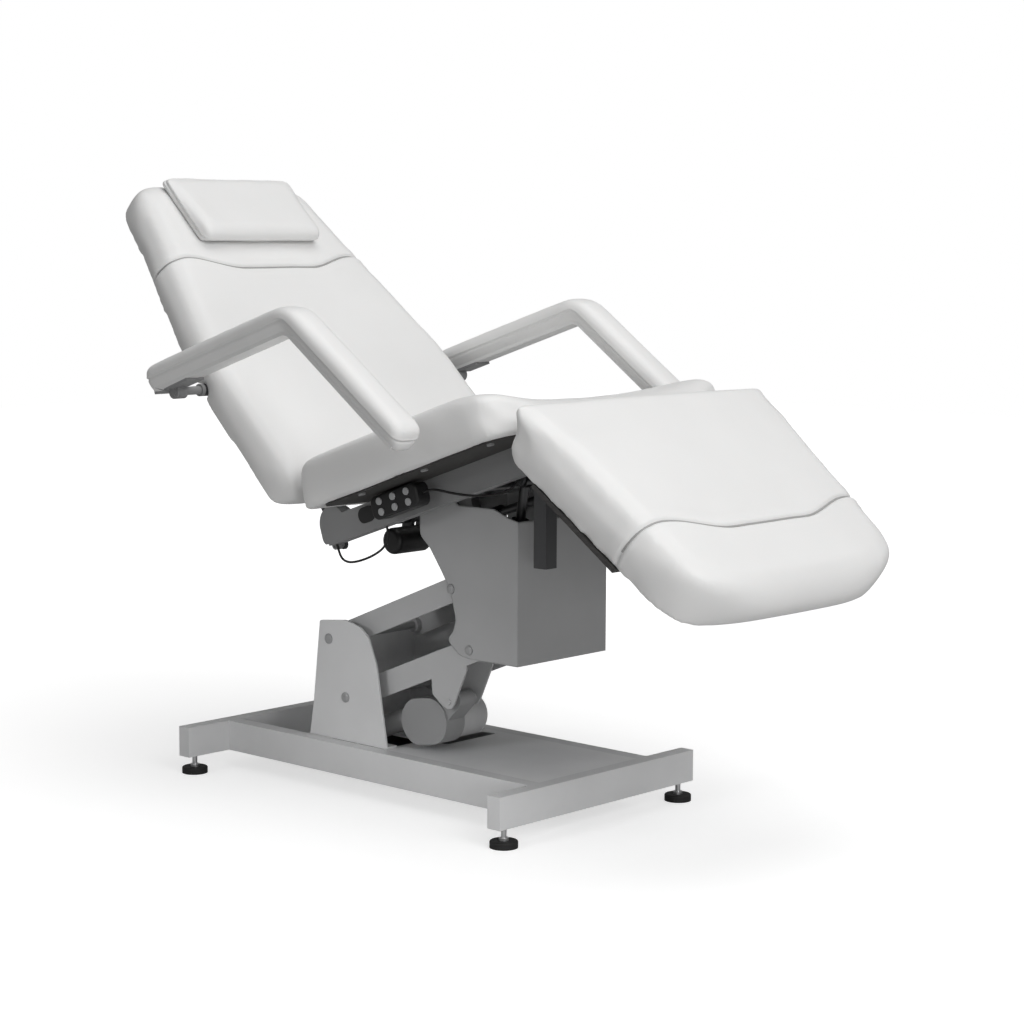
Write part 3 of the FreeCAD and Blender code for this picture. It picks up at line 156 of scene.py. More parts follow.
def swell(obj, ax, base, pressure, cap, frames=9, bend=0.5, stiff=15.0):
    """inflates the cover over its board with a cloth simulation"""
    me = obj.data
    co0 = get_co(me)
    q = to_local(co0, ax)
    vg = obj.vertex_groups.new(name="pin")
    held = np.nonzero(q[:, 2] < base + 0.007)[0]
    vg.add([int(i) for i in held], 1.0, "REPLACE")
    c = obj.modifiers.new("cloth", "CLOTH")
    s = c.settings
    s.quality = 4
    s.mass = 0.25
    s.tension_stiffness = stiff
    s.compression_stiffness = stiff
    s.shear_stiffness = stiff * 0.4
    s.bending_stiffness = bend
    s.use_pressure = True
    s.uniform_pressure_force = pressure
    s.vertex_group_mass = "pin"
    s.effector_weights.gravity = 0.0
    c.point_cache.frame_start = 1
    c.point_cache.frame_end = frames
    sc = bpy.context.scene
    for f in range(1, frames + 1):
        sc.frame_set(f)
    dg = bpy.context.evaluated_depsgraph_get()
    ev = obj.evaluated_get(dg)
    tmp = bpy.data.meshes.new_from_object(ev, depsgraph=dg)
    co = get_co(tmp)
    bpy.data.meshes.remove(tmp)
    obj.modifiers.clear()
    obj.vertex_groups.clear()
    sc.frame_set(1)
    if len(co) == len(co0) and np.isfinite(co).all():
        d = co - co0
        ln = np.linalg.norm(d, axis=1)[:, None]
        d = d * np.minimum(1.0, cap / np.maximum(ln, 1e-9))
        set_co(me, co0 + d)


def refine(obj):
    m = obj.modifiers.new("fine", "SUBSURF")
    m.levels = 1
    m.render_levels = 1
    bake(obj)


def finish_soft(obj, node, body, mat, smooth=True):
    me = obj.data
    me.materials.clear()
    me.materials.append(mat)
    if smooth:
        me.shade_smooth()
    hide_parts(node)
    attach(obj, body)


def ripple(co, scale, seed):
    """slow, shallow unevenness of a stuffed cover"""
    p = co * scale
    return (np.sin(p[:, 0] * 1.0 + seed) * np.cos(p[:, 1] * 1.3 + seed * 2.1) + 0.6 * np.sin(p[:, 0] * 2.3 + p[:, 2] * 1.7 + seed * 0.7)
            * np.cos(p[:, 1] * 2.9 - seed)) / 1.6


# ------------------------------------------------------------------ materials
def new_mat(name):
    m = bpy.data.materials.new(name)
    m.use_nodes = True
    nt = m.node_tree
    bsdf = nt.nodes["Principled BSDF"]
    tc = nt.nodes.new("ShaderNodeTexCoord")
    return m, nt, bsdf, tc


def noise_node(nt, tc, scale, detail=3.0, rough=0.5, stretch=None):
    n = nt.nodes.new("ShaderNodeTexNoise")
    n.inputs["Scale"].default_value = scale
    n.inputs["Detail"].default_value = detail
    n.inputs["Roughness"].default_value = rough
    if stretch is not None:
        mp = nt.nodes.new("ShaderNodeMapping")
        mp.inputs["Scale"].default_value = stretch
        nt.links.new(tc.outputs["Object"], mp.inputs["Vector"])
        nt.links.new(mp.outputs["Vector"], n.inputs["Vector"])
    else:
        nt.links.new(tc.outputs["Object"], n.inputs["Vector"])
    return n


def ramp_node(nt, src, stops):
    r = nt.nodes.new("ShaderNodeValToRGB")
    el = r.color_ramp.elements
    el[0].position, el[0].color = stops[0][0], (*stops[0][1], 1)
    el[1].position, el[1].color = stops[-1][0], (*stops[-1][1], 1)
    for p, c in stops[1:-1]:
        e = el.new(p)
        e.color = (*c, 1)
    nt.links.new(src, r.inputs["Fac"])
    return r


def range_node(nt, src, lo, hi):
    r = nt.nodes.new("ShaderNodeMapRange")
    r.inputs["To Min"].default_value = lo
    r.inputs["To Max"].default_value = hi
    nt.links.new(src, r.inputs["Value"])
    return r


def bump_node(nt, height, strength, distance, normal=None):
    b = nt.nodes.new("ShaderNodeBump")
    b.inputs["Strength"].default_value = strength
    b.inputs["Distance"].default_value = distance
    nt.links.new(height, b.inputs["Height"])
    if normal is not None:
        nt.links.new(normal, b.inputs["Normal"])
    return b


def mul(c, k):
    return tuple(min(1.0, v * k) for v in c)


def leatherette(name="leatherette_white", tone=(0.80, 0.798, 0.792)):
    m, nt, bsdf, tc = new_mat(name)
    base = tone
    big = noise_node(nt, tc, 5.0, 4.0)
    col = ramp_node(nt, big.outputs["Fac"], [(0.3, mul(base, 0.975)), (0.7, base)])
    nt.links.new(col.outputs["Color"], bsdf.inputs["Base Color"])
    vor = nt.nodes.new("ShaderNodeTexVoronoi")
    vor.inputs["Scale"].default_value = 620.0
    vor.feature = "DISTANCE_TO_EDGE"
    wob = noise_node(nt, tc, 300.0, 3.0)
    nt.links.new(tc.outputs["Object"], vor.inputs["Vector"])
    b1 = bump_node(nt, vor.outputs["Distance"], 0.16, 0.0006)
    b2 = bump_node(nt, wob.outputs["Fac"], 0.10, 0.0005, b1.outputs["Normal"])
    nt.links.new(b2.outputs["Normal"], bsdf.inputs["Normal"])
    rg = range_node(nt, big.outputs["Fac"], 0.40, 0.50)
    nt.links.new(rg.outputs["Result"], bsdf.inputs["Roughness"])
    bsdf.inputs["Specular IOR Level"].default_value = 0.42
    bsdf.inputs["Sheen Weight"].default_value = 0.05
    bsdf.inputs["Subsurface Weight"].default_value = 0.04
    bsdf.inputs["Subsurface Radius"].default_value = (0.004, 0.003, 0.0025)
    return m


def powder(name, base, rough=0.42, metal=0.0, edge=0.0008, peel=0.10):
    m, nt, bsdf, tc = new_mat(name)
    big = noise_node(nt, tc, 7.0, 5.0)
    col = ramp_node(nt, big.outputs["Fac"], [(0.3, mul(base, 0.95)), (0.7, mul(base, 1.03))])
    nt.links.new(col.outputs["Color"], bsdf.inputs["Base Color"])
    fine = noise_node(nt, tc, 950.0, 2.0)
    bev = nt.nodes.new("ShaderNodeBevel")
    bev.samples = 6
    bev.inputs["Radius"].default_value = edge
    b = bump_node(nt, fine.outputs["Fac"], peel, 0.0004, bev.outputs["Normal"])
    nt.links.new(b.outputs["Normal"], bsdf.inputs["Normal"])
    rg = range_node(nt, big.outputs["Fac"], rough - 0.05, rough + 0.07)
    nt.links.new(rg.outputs["Result"], bsdf.inputs["Roughness"])
    bsdf.inputs["Metallic"].default_value = metal
    return m


def plastic(name, base, rough=0.45, edge=0.0008, grain=700.0):
    m, nt, bsdf, tc = new_mat(name)
    big = noise_node(nt, tc, 14.0, 4.0)
    col = ramp_node(nt, big.outputs["Fac"], [(0.3, mul(base, 0.9)), (0.7, mul(base, 1.08))])
    nt.links.new(col.outputs["Color"], bsdf.inputs["Base Color"])
    fine = noise_node(nt, tc, grain, 2.0)
    bev = nt.nodes.new("ShaderNodeBevel")
    bev.samples = 6
    bev.inputs["Radius"].default_value = edge
    b = bump_node(nt, fine.outputs["Fac"], 0.14, 0.0003, bev.outputs["Normal"])
    nt.links.new(b.outputs["Normal"], bsdf.inputs["Normal"])
    rg = range_node(nt, big.outputs["Fac"], rough - 0.05, rough + 0.08)
    nt.links.new(rg.outputs["Result"], bsdf.inputs["Roughness"])
    return m


def metal(name, base, rough, streak=None, edge=0.0005):
    m, nt, bsdf, tc = new_mat(name)
    big = noise_node(nt, tc, 30.0, 4.0)
    col = ramp_node(nt, big.outputs["Fac"], [(0.3, mul(base, 0.93)), (0.7, mul(base, 1.04))])
    nt.links.new(col.outputs["Color"], bsdf.inputs["Base Color"])
    bsdf.inputs["Metallic"].default_value = 1.0
    fine = noise_node(nt, tc, 400.0, 2.0, 0.5, streak or (1.0, 1.0, 1.0))
    rg = range_node(nt, fine.outputs["Fac"], max(0.03, rough - 0.06), rough + 0.10)
    nt.links.new(rg.outputs["Result"], bsdf.inputs["Roughness"])
    bev = nt.nodes.new("ShaderNodeBevel")
    bev.samples = 6
    bev.inputs["Radius"].default_value = edge
    b = bump_node(nt, fine.outputs["Fac"], 0.04, 0.0002, bev.outputs["Normal"])
    nt.links.new(b.outputs["Normal"], bsdf.inputs["Normal"])
    return m


def ply():
    m, nt, bsdf, tc = new_mat("board_ply")
    w = noise_node(nt, tc, 22.0, 6.0, 0.6, (1.0, 9.0, 9.0))
    col = ramp_node(nt, w.outputs["Fac"], [(0.3, (0.030, 0.029, 0.028)), (0.5, (0.050, 0.048, 0.046)), (0.72, (0.068, 0.066, 0.063))])
    nt.links.new(col.outputs["Color"], bsdf.inputs["Base Color"])
    b = bump_node(nt, w.outputs["Fac"], 0.2, 0.0006)
    nt.links.new(b.outputs["Normal"], bsdf.inputs["Normal"])
    rg = range_node(nt, w.outputs["Fac"], 0.55, 0.75)
    nt.links.new(rg.outputs["Result"], bsdf.inputs["Roughness"])
    return m


M = {
    "white_leatherette": leatherette(),
    # seam_welt_painted_shade is the white leatherette darkened to a mid grey as painted shade of the sewn seam's crease
    "seam_welt_painted_shade": leatherette("leatherette_welt_painted_shade", (0.36, 0.358, 0.353)),
    "grey_coated_steel": powder("coat_light_grey", (0.52, 0.523, 0.527), 0.44),
    # base_coat_painted_light, cover_coat_painted_light, column_coat_painted_shade and gearbox_coat_painted_shade are
    # lit and shaded copies of the one grey frame paint: the base frame and cover plate are painted lighter as painted
    # light, the column and gearbox darker as painted shade
    "base_coat_painted_light": powder("coat_base_grey_painted_light", (0.74, 0.743, 0.747), 0.44),
    "column_coat_painted_shade": powder("coat_column_grey_painted_shade", (0.44, 0.443, 0.447), 0.40, edge=0.006),
    "cover_coat_painted_light": powder("coat_cover_grey_painted_light", (0.86, 0.863, 0.867), 0.46),
    "gearbox_coat_painted_shade": powder("coat_gearbox_grey_painted_shade", (0.33, 0.332, 0.336), 0.42),
    "dark_rod": metal("steel_blackened", (0.11, 0.11, 0.112), 0.34),
    "dark_grey_steel": powder("coat_dark_grey", (0.060, 0.061, 0.064), 0.46),
    "mid_grey_steel": powder("coat_mid_grey", (0.27, 0.271, 0.274), 0.44),
    "pin_coat": powder("coat_pin_grey", (0.36, 0.362, 0.366), 0.30),
    "motor_grey_plastic": plastic("motor_shell", (0.58, 0.582, 0.586), 0.40, 0.0025),
    "black_plastic": plastic("moulded_black", (0.012, 0.012, 0.0125), 0.42),
    "button_grey_plastic": plastic("button_grey", (0.42, 0.425, 0.43), 0.40),
    "black_rubber": plastic("rubber_black", (0.011, 0.011, 0.011), 0.66, 0.001, 420.0),
    "bright_steel": metal("steel_zinc", (0.66, 0.665, 0.67), 0.30),
    "chrome_rod": metal("chrome_bright", (0.80, 0.81, 0.82), 0.10),
    "dark_board": ply(),
}
SPECIAL = {
    # the column housing and gearbox get the painted-shade copies of the frame paint, the base frame, tower and cover
    # plate the painted-light copies
    "column_housing": "column_coat_painted_shade", "lift_actuator_gearbox": "gearbox_coat_painted_shade", "seat_board_screws": "mid_grey_steel",
    "seat_left_channel": "mid_grey_steel", "seat_right_channel": "mid_grey_steel",
    "tower_pivot_pins": "pin_coat", "column_pivot_pins": "pin_coat",
    "base_crossbars": "base_coat_painted_light", "base_side_rails": "base_coat_painted_light", "base_cover_plate": "cover_coat_painted_light", "tower_bracket": "base_coat_painted_light",
    "armrest_left_crank": "mid_grey_steel", "armrest_right_crank": "mid_grey_steel",
    "tilt_actuator_rod": "dark_rod", "backrest_actuator_rod": "dark_rod",
}
slots = {s["node"]: s["material_slot"] for s in frame["record"]["subparts"]}
for name, obj in NODES.items():
    key = SPECIAL.get(name, slots.get(name))
    if key is None:
        key = "grey_coated_steel"
    obj.data.materials.clear()
    obj.data.materials.append(M[key])

# the armrest boards are wrapped in the same cover, their hubs are painted
PVX, PVZ = -0.2943 + XS, 0.7786
for tag in ("left", "right"):
    me = NODES["armrest_%s_tray" % tag].data
    me.materials.append(M["mid_grey_steel"])
    flags = np.zeros(len(me.polygons), dtype=np.int32)
    for p in me.polygons:
        c = p.center
        below = (c.x - (-0.340 + XS)) * 0.1249 - (c.z - 0.7736) * 0.3825
        if math.hypot(c.x - PVX, c.z - PVZ) < 0.09 and below > -0.0004 * 0.4024 and c.x < -0.2 + XS:
            flags[p.index] = 1
    me.polygons.foreach_set("material_index", flags)

# the stems of the levelling feet are plated, only their pads are rubber
for i in range(1, 5):
    ob = NODES["levelling_foot_%d" % i]
    me = ob.data
    me.materials.append(M["bright_steel"])
    flags = np.zeros(len(me.polygons), dtype=np.int32)
    lo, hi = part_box("levelling_foot_%d" % i)
    cx, cy = (lo[0] + hi[0]) / 2, (lo[1] + hi[1]) / 2
    for p in me.polygons:
        c = p.center
        if c.z > 0.0132 or (c.z > 0.0125 and math.hypot(c.x - cx, c.y - cy) < 0.0091):
            flags[p.index] = 1
    me.polygons.foreach_set("material_index", flags)


# ------------------------------------------------------------------ upholstery
def seam_line(q, seam, depth, width, lip, base, side_sign=1.0):
    """inward displacement of a sewn seam whose place along the cushion is seam(y)"""
    d = q[:, 0] - seam(np.abs(q[:, 1]))
    top = sstep(q[:, 2], base + 0.004, base + 0.012)
    g = -depth * np.exp(-(d / width) ** 2)
    g += lip * np.exp(-((d - side_sign * width * 2.3) / (width * 1.1)) ** 2)
    g += 0.0012 * np.exp(-((np.abs(d) - 0.020) / 0.012) ** 2)
    return g * top


def build(node, body, ax, base, voxel, rounds, pressure, cap, shape=None, after=None, name=None, floor_keep=0.4, ends=None):
    obj = soft_copy(node, name or (node + "_cover"), voxel)
    me = obj.data
    if shape is not None:
        set_co(me, to_world(shape(to_local(get_co(me), ax)), ax))
    q = to_local(get_co(me), ax)
    keep = sstep(q[:, 2], base - 0.001, base + 0.016)
    if ends is not None:
        keep = keep * ends(q)
    relax(me, 4)
    relax(me, rounds, floor_keep + (1 - floor_keep) * keep)
    q = to_local(get_co(me), ax)
    low = q[:, 2] < base + 0.003
    q[low, 2] = base + (q[low, 2] - base) * 0.2
    set_co(me, to_world(q, ax))
    swell(obj, ax, base, pressure, cap)
    relax(me, 6, floor_keep + (1 - floor_keep) * keep)
    refine(obj)
    me = obj.data
    if after is not None:
        co = get_co(me)
        no = get_no(me)
        d = after(co, to_local(co, ax), no)
        set_co(me, co + no * d[:, None])
    finish_soft(obj, node, body, M["white_leatherette"])
    return obj


def welt(name, obj, ax, seam, body, y_in, n_in, r=0.0023, lift=0.0008):
    """sewn welt laid in the seam's groove, over the top and down both sides; its dark grey colour is painted shade of
    the seam crease
    """
    tree = BVHTree.FromObject(obj, bpy.context.evaluated_depsgraph_get())
    o, a, b = (Vector(v) for v in ax)
    side = Vector((0, 1, 0))
    rays = []
    for k in range(14):
        rays.append((-1, math.radians(-6 + 96 * k / 14)))
    for k in range(61):
        rays.append((0, -y_in + 2 * y_in * k / 60))
    for k in range(14):
        rays.append((1, math.radians(90 - 96 * (k + 1) / 14)))
    pts = []
    for sgn, v in rays:
        if sgn == 0:
            yc, d = v, b.copy()
        else:
            yc, d = sgn * y_in, side * (sgn * math.cos(v)) + b * math.sin(v)
        y = yc if sgn == 0 else sgn * 0.32
        hit = None
        for _ in range(3):
            org = o + a * float(seam(np.array([abs(y)]))[0]) + b * n_in + side * yc
            h = tree.ray_cast(org, d)
            if h[0] is None:
                break
            hit = h
            y = h[0].y
        if hit is not None:
            pts.append(hit[0] + d * lift)
    for _ in range(3):
        pts = [pts[0]] + [(pts[i - 1] + pts[i] * 2 + pts[i + 1]) / 4 for i in range(1, len(pts) - 1)] + [pts[-1]]
    cu = bpy.data.curves.new(name, "CURVE")
    cu.dimensions = "3D"
    cu.bevel_depth = r
    cu.bevel_resolution = 3
    cu.use_fill_caps = True
    sp = cu.splines.new("POLY")
    sp.points.add(len(pts) - 1)
    for k, p in enumerate(pts):
        sp.points[k].co = (p.x, p.y, p.z, 1.0)
    ob = bpy.data.objects.new(name, cu)
    bpy.context.scene.collection.objects.link(ob)
    # the dark grey welt material is painted shade of the seam crease
    cu.materials.append(M["seam_welt_painted_shade"])
    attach(ob, body)
    return ob


# backrest
def back_shape(q):
    q = q.copy()
    crown = (1 - np.clip(np.abs(q[:, 1]) / 0.30, 0, 1) ** 2.2)
    up = sstep(q[:, 2], 0.02, 0.08)
    q[:, 2] -= 0.007 * (1 - crown) * up
    # slight side bolster in the lower half, dished in the middle
    q[:, 2] -= 0.004 * up * np.exp(-(q[:, 1] / 0.13) ** 2) * sstep(q[:, 0], 0.05, 0.2) * (1 - sstep(q[:, 0], 0.45, 0.6))
    head = sstep(q[:, 0], 0.66, 0.80)
    q[:, 0] += 0.018 * head
    q[:, 1] *= 1.0 + 0.028 * head
    return q


def back_seam(y):
    return 0.545 + 0.034 * sstep(y, 0.09, 0.225)


def back_after(co, q, no):
    d = seam_line(q, back_seam, 0.0056, 0.0040, 0.0016, 0.0, -1.0)
    return d + 0.0007 * ripple(co, 17.0, 1.3)


back = build("backrest_cushion", "backrest", BACK, 0.0, 0.0062, 80, 4.0, 0.0025, back_shape, back_after, floor_keep=0.12)
welt("backrest_seam", back, BACK, back_seam, "backrest", 0.25, 0.03)


# seat
def seat_shape(q):
    q = q.copy()
    up = sstep(q[:, 2], 0.56, 0.60)
    front = sstep(q[:, 0], 0.50, 0.70)
    middle = 1 - np.clip(np.abs(q[:, 1]) / 0.285, 0, 1) ** 3
    q[:, 2] -= 0.026 * up * front * middle
    q[:, 2] -= 0.005 * up * middle * (1 - front)
    lip = sstep(q[:, 0], 0.655, 0.7215)
    side = sstep(np.abs(q[:, 1]), 0.235, 0.29)
    q[:, 0] += lip * (0.006 * (1 - side) * np.exp(-((q[:, 2] - 0.583) / 0.030) ** 2) - 0.026 * side * np.exp(-((q[:, 2] - 0.575) / 0.032) ** 2))
    return q


def seat_after(co, q, no):
    return 0.0007 * ripple(co, 16.0, 4.1)


build("seat_cushion", "seat_frame", SEAT, 0.540, 0.0060, 40, 3.5, 0.0015, seat_shape, seat_after)


# leg rest
def leg_shape(q):
    q = q.copy()
    up = sstep(q[:, 2], 0.03, 0.09)
    edge = np.clip(np.abs(q[:, 1]) / 0.32, 0, 1) ** 3
    q[:, 2] -= 0.006 * edge * up
    rear = 1 - sstep(q[:, 0], 0.075, 0.17)
    q[:, 0] -= rear * (0.023 + 0.020 * sstep(q[:, 2], 0.045, 0.095))
    q[:, 1] *= 1.0 + 0.016 * rear
    q[:, 2] -= 0.008 * (1 - sstep(q[:, 0], 0.05, 0.16)) * up
    return q


def leg_ends(q):
    return 0.30 + 0.70 * sstep(q[:, 0], 0.085, 0.20)


def leg_seam(y):
    return 0.374 - 0.0355 * sstep(y, 0.10, 0.265)


def leg_after(co, q, no):
    d = seam_line(q, leg_seam, 0.0056, 0.0040, 0.0016, 0.0, 1.0)
    return d + 0.0007 * ripple(co, 17.0, 2.6)


leg = build("leg_rest_cushion", "leg_rest", LEG, 0.0, 0.0060, 75, 4.0, 0.0025, leg_shape, leg_after, floor_keep=0.06, ends=leg_ends)
welt("leg_rest_seam", leg, LEG, leg_seam, "leg_rest", 0.25, 0.04)


# pillow
def pillow_after(co, q, no):
    side = np.abs(np.abs(no[:, 1])) > 0.5
    t = q[:, 2] - 0.0805
    g = -0.0020 * np.exp(-((t - 0.013) / 0.0022) ** 2) + 0.0012 * np.exp(-((t - 0.018) / 0.0022) ** 2)
    return g * 1.0 + 0.0006 * ripple(co, 30.0, 0.4)


def pillow_shape(q):
    q = q.copy()
    f = 0.86 - 0.20 * sstep(q[:, 0], 0.62, 0.80)
    q[:, 2] = 0.0805 + (q[:, 2] - 0.0805) * f
    far = sstep(q[:, 1], 0.0, 0.17)
    q[:, 1] -= (0.026 * (1 - sstep(q[:, 0], 0.60, 0.80)) - 0.004) * far
    q[:, 0] += 0.005
    low = 1 - sstep(q[:, 2], 0.0805, 0.0960)
    q[:, 0] += 0.016 * low * (1 - sstep(q[:, 0], 0.605, 0.645))
    return q


build("pillow", "backrest", BACK, 0.0805, 0.0045, 34, 3.0, 0.0015, pillow_shape, pillow_after, "pillow_cover", 0.10)

# armrest pads
UNDER = [(-0.340 + XS, 0.7736), (0.0425 + XS, 0.8985), (0.320 + XS, 0.702)]


def under_gap(co):
    best = np.full(len(co), 9.0)
    for (x0, z0), (x1, z1) in zip(UNDER[:-1], UNDER[1:]):
        dx, dz = x1 - x0, z1 - z0
        ll = math.hypot(dx, dz)
        t = np.clip(((co[:, 0] - x0) * dx + (co[:, 2] - z0) * dz) / ll, 0, ll)
        best = np.minimum(best, np.hypot(co[:, 0] - x0 - dx / ll * t, co[:, 2] - z0 - dz / ll * t))
    return best


def down_dir(co):
    """unit direction from the underside line of the armrest into the pad"""
    best = np.full(len(co), 9.0)
    out = np.zeros_like(co)
    for (x0, z0), (x1, z1) in zip(UNDER[:-1], UNDER[1:]):
        dx, dz = x1 - x0, z1 - z0
        ll = math.hypot(dx, dz)
        t = np.clip(((co[:, 0] - x0) * dx + (co[:, 2] - z0) * dz) / ll, 0, ll)
        d = np.hypot(co[:, 0] - x0 - dx / ll * t, co[:, 2] - z0 - dz / ll * t)
        hit = d < best
        best = np.minimum(best, d)
        out[hit] = (-dz / ll, 0.0, dx / ll)
    # the two directions run into each other near the bend
    mid = UNDER[1]
    w = np.exp(-((co[:, 0] - mid[0]) / 0.03) ** 2)[:, None]
    up = np.array([0.1, 0.0, 0.995])
    out = out * (1 - w) + up * w
    return out / np.linalg.norm(out, axis=1)[:, None]


for tag in ("left", "right"):
    node = "armrest_%s_pad" % tag
    obj = soft_copy(node, node + "_cover", 0.0042)
    me = obj.data
    co = get_co(me)
    g = under_gap(co)
    pull = 1 - sstep(g, 0.0105, 0.020)
    co = co - down_dir(co) * (0.0086 * pull)[:, None]
    mid_y = 0.390 if tag == "left" else -0.390
    tuck = 1 - sstep(g, 0.006, 0.027)
    co[:, 1] = mid_y + (co[:, 1] - mid_y) * (1 - 0.42 * tuck)
    set_co(me, co)
    relax(me, 3)
    relax(me, 24, 0.02 + 0.98 * sstep(g, 0.013, 0.026))
    vg_ax = (np.array([0.0, 0.0, 0.0]), np.array([1.0, 0, 0]), np.array([0, 0, 1.0]))
    co0 = get_co(me)
    vg = obj.vertex_groups.new(name="pin")
    vg.add([int(i) for i in np.nonzero(g < 0.014)[0]], 1.0, "REPLACE")
    c = obj.modifiers.new("cloth", "CLOTH")
    s = c.settings
    s.quality = 4
    s.mass = 0.25
    s.tension_stiffness = s.compression_stiffness = 15.0
    s.bending_stiffness = 0.5
    s.use_pressure = True
    s.uniform_pressure_force = 3.0
    s.vertex_group_mass = "pin"
    s.effector_weights.gravity = 0.0
    c.point_cache.frame_start = 1
    c.point_cache.frame_end = 8
    for f in range(1, 9):
        bpy.context.scene.frame_set(f)
    dg = bpy.context.evaluated_depsgraph_get()
    tmp = bpy.data.meshes.new_from_object(obj.evaluated_get(dg), depsgraph=dg)
    co = get_co(tmp)
    bpy.data.meshes.remove(tmp)
    obj.modifiers.clear()
    obj.vertex_groups.clear()
    bpy.context.scene.frame_set(1)
    if len(co) == len(co0) and np.isfinite(co).all():
        d = co - co0
        ln = np.linalg.norm(d, axis=1)[:, None]
        set_co(me, co0 + d * np.minimum(1.0, 0.0012 / np.maximum(ln, 1e-9)))
        relax(me, 4, 0.02 + 0.98 * sstep(g, 0.013, 0.026))
    refine(obj)
    me = obj.data
    co, no = get_co(me), get_no(me)
    g = under_gap(co)
    line = -0.0024 * np.exp(-((g - 0.0245) / 0.0018) ** 2) + 0.0012 * np.exp(-((g - 0.0280) / 0.0018) ** 2)
    set_co(me, co + no * (line + 0.0004 * ripple(co, 40.0, 2.0))[:, None])
    finish_soft(obj, node, "armrest_%s" % tag, M["white_leatherette"])


# ------------------------------------------------------------------ cables
def su(u, w, y):
    c, s = math.cos(math.radians(19.0)), math.sin(math.radians(19.0))
    return Vector(((u * c - w * s) / 1000.0 + XS, y / 1000.0, (u * s + w * c) / 1000.0))


def make_cable(node, pts, r):
    cu = bpy.data.curves.new(node + "_wire", "CURVE")
    cu.dimensions = "3D"
    cu.bevel_depth = r
    cu.bevel_resolution = 5
    cu.resolution_u = 24
    cu.use_fill_caps = True
    sp = cu.splines.new("NURBS")
    sp.points.add(len(pts) - 1)
    for k, p in enumerate(pts):
        sp.points[k].co = (p[0], p[1], p[2], 1.0)
    sp.order_u = 3
    sp.use_endpoint_u = True
    ob = bpy.data.objects.new(node + "_wire", cu)
    bpy.context.scene.collection.objects.link(ob)
    cu.materials.append(M["black_rubber"])
    thin = cu.copy()
    thin.bevel_depth = 0.0
    t_ob = bpy.data.objects.new("measure", thin)
    bpy.context.scene.collection.objects.link(t_ob)
    dg = bpy.context.evaluated_depsgraph_get()
    me = t_ob.evaluated_get(dg).to_mesh()
    t_ob.evaluated_get(dg).to_mesh_clear()
    bpy.data.objects.remove(t_ob)
    bpy.data.curves.remove(thin)
    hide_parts(node)
    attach(ob, "seat_frame")
    return ob


HC = [su(388, 514, -220), su(406, 514, -220), su(424, 509, -219), su(443, 499, -214), su(463, 489, -206),
      su(484, 480, -196), su(505, 474, -184), su(525, 471, -169), su(543, 475, -154), su(556, 487, -143), su(563, 504, -137),
      su(565, 522, -136), su(565.2, 540, -136.2)]
make_cable("hand_control_cable", HC, 0.00225)
LOOP = [su(76, 487, -166), su(76, 465.5, -166), su(87, 451.5, -167), su(107, 444, -168), su(140, 441.5, -168.5), su(172, 443.5, -168),
        su(197, 449, -167.5), su(212, 459, -167), su(220, 472, -166), su(220, 487, -166)]
make_cable("actuator_lead_loop", LOOP, 0.00225)

# ------------------------------------------------------------------ floor, light and camera
fl = bpy.data.meshes.new("floor")
fl.from_pydata([(-9, -9, -0.0004), (9, -9, -0.0004), (9, 9, -0.0004), (-9, 9, -0.0004)], [], [(0, 1, 2, 3)])
floor = bpy.data.objects.new("floor", fl)
bpy.context.scene.collection.objects.link(floor)
fm, nt, bsdf, tc = new_mat("floor_pale")
n = noise_node(nt, tc, 2.0, 3.0)
c_ = ramp_node(nt, n.outputs["Fac"], [(0.3, (0.54, 0.54, 0.54)), (0.7, (0.56, 0.56, 0.56))])
nt.links.new(c_.outputs["Color"], bsdf.inputs["Base Color"])
bsdf.inputs["Roughness"].default_value = 0.85
bsdf.inputs["Specular IOR Level"].default_value = 0.1
bsdf.inputs["Emission Color"].default_value = (1.0, 1.0, 1.0, 1.0)
dist = nt.nodes.new("ShaderNodeVectorMath")
dist.operation = "LENGTH"
nt.links.new(tc.outputs["Object"], dist.inputs[0])
fade = range_node(nt, dist.outputs["Value"], 0.62, 1.0)
fade.inputs["From Min"].default_value = 0.6
fade.inputs["From Max"].default_value = 3.5
flp = nt.nodes.new("ShaderNodeLightPath")
seen = nt.nodes.new("ShaderNodeMath")
seen.operation = "MULTIPLY"
nt.links.new(flp.outputs["Is Camera Ray"], seen.inputs[0])
nt.links.new(fade.outputs["Result"], seen.inputs[1])
nt.links.new(seen.outputs["Value"], bsdf.inputs["Emission Strength"])
fl.materials.append(fm)

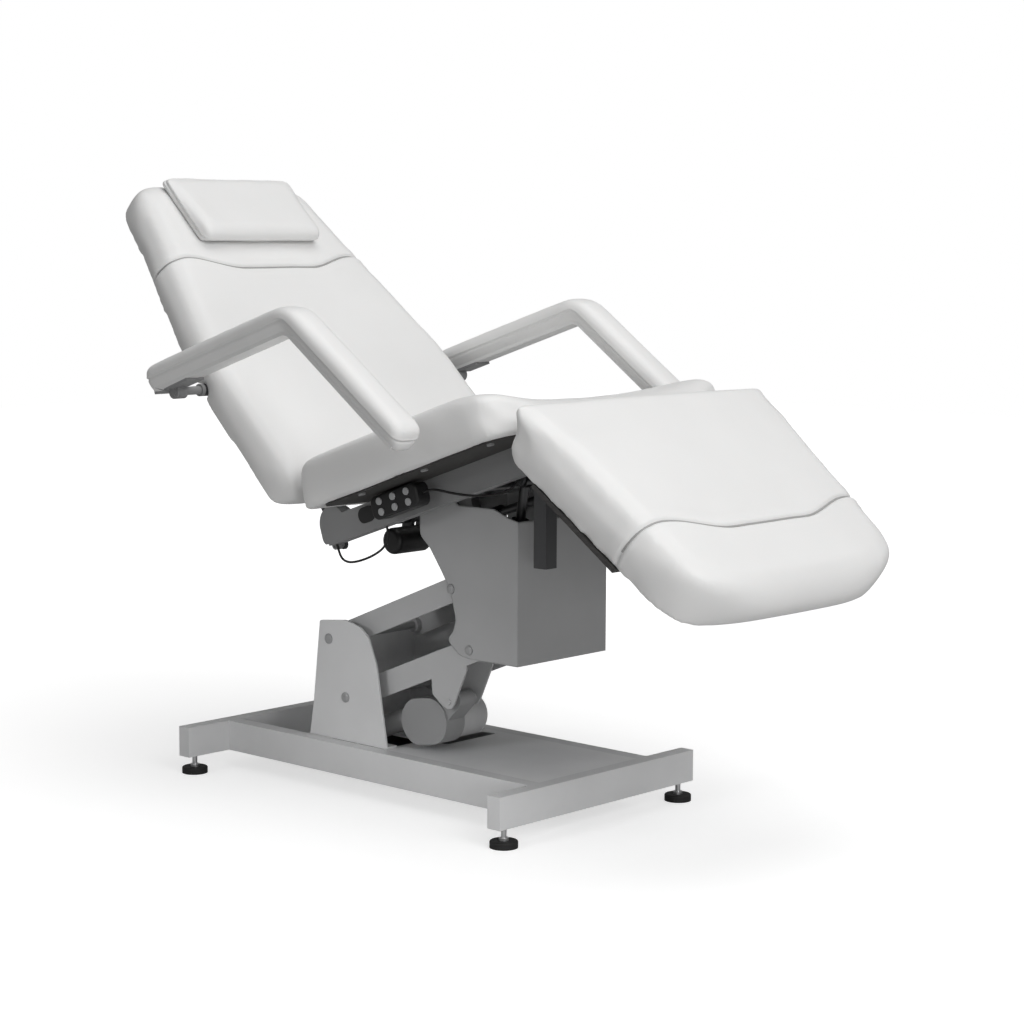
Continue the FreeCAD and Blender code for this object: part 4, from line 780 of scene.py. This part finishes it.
world = bpy.data.worlds.new("studio")
bpy.context.scene.world = world
world.use_nodes = True
wn = world.node_tree
wbg = wn.nodes["Background"]
wbg.inputs["Color"].default_value = (1.0, 1.0, 1.0, 1.0)
lp = wn.nodes.new("ShaderNodeLightPath")
wr = wn.nodes.new("ShaderNodeMapRange")
wr.inputs["To Min"].default_value = 0.25
wr.inputs["To Max"].default_value = 1.0
wn.links.new(lp.outputs["Is Camera Ray"], wr.inputs["Value"])
wn.links.new(wr.outputs["Result"], wbg.inputs["Strength"])


def area(name, loc, target, size, power):
    ld = bpy.data.lights.new(name, "AREA")
    ld.shape = "RECTANGLE"
    ld.size, ld.size_y = size
    ld.energy = power
    lo_ = bpy.data.objects.new(name, ld)
    bpy.context.scene.collection.objects.link(lo_)
    lo_.location = loc
    d = Vector(target) - Vector(loc)
    lo_.rotation_euler = d.to_track_quat("-Z", "Y").to_euler()
    return lo_


area("key", (4.0, -0.9, 3.4), (0.0, 0.0, 0.7), (2.6, 2.6), 108.0)
area("top", (0.3, 0.1, 4.3), (0.0, 0.0, 0.7), (3.0, 3.0), 62.0)
area("low_fill", (3.5, -2.3, 0.5), (0.1, 0.0, 0.15), (2.2, 0.5), 19.0)
base_fill = area("base_fill", (-0.2, -2.7, 0.95), (0.05, 0.0, 0.08), (0.9, 0.35), 0.42)
base_fill.data.spread = math.radians(26.0)

cam_d = bpy.data.cameras.new("camera")
cam_d.sensor_width = 36.0
cam_d.lens = 83.68
cam_d.clip_end = 100.0
cam_d.dof.use_dof = False
cam = bpy.data.objects.new("camera", cam_d)
bpy.context.scene.collection.objects.link(cam)
bpy.context.scene.camera = cam
az, el, roll = math.radians(42.887), math.radians(6.724), math.radians(0.2146)
F = Vector((-math.sin(az) * math.cos(el), math.cos(az) * math.cos(el), -math.sin(el)))
right = Vector((math.cos(az), math.sin(az), 0.0))
up = right.cross(F)
R = right * math.cos(roll) + up * math.sin(roll)
U = up * math.cos(roll) - right * math.sin(roll)
mw = Matrix((R, U, -F)).transposed().to_4x4()
mw.translation = Vector((3.2319 + XS, -3.2478, 1.0816))
cam.matrix_world = mw

bpy.context.scene.view_settings.view_transform = "Standard"
bpy.context.scene.view_settings.look = "None"
bpy.context.scene.view_settings.exposure = 0.0
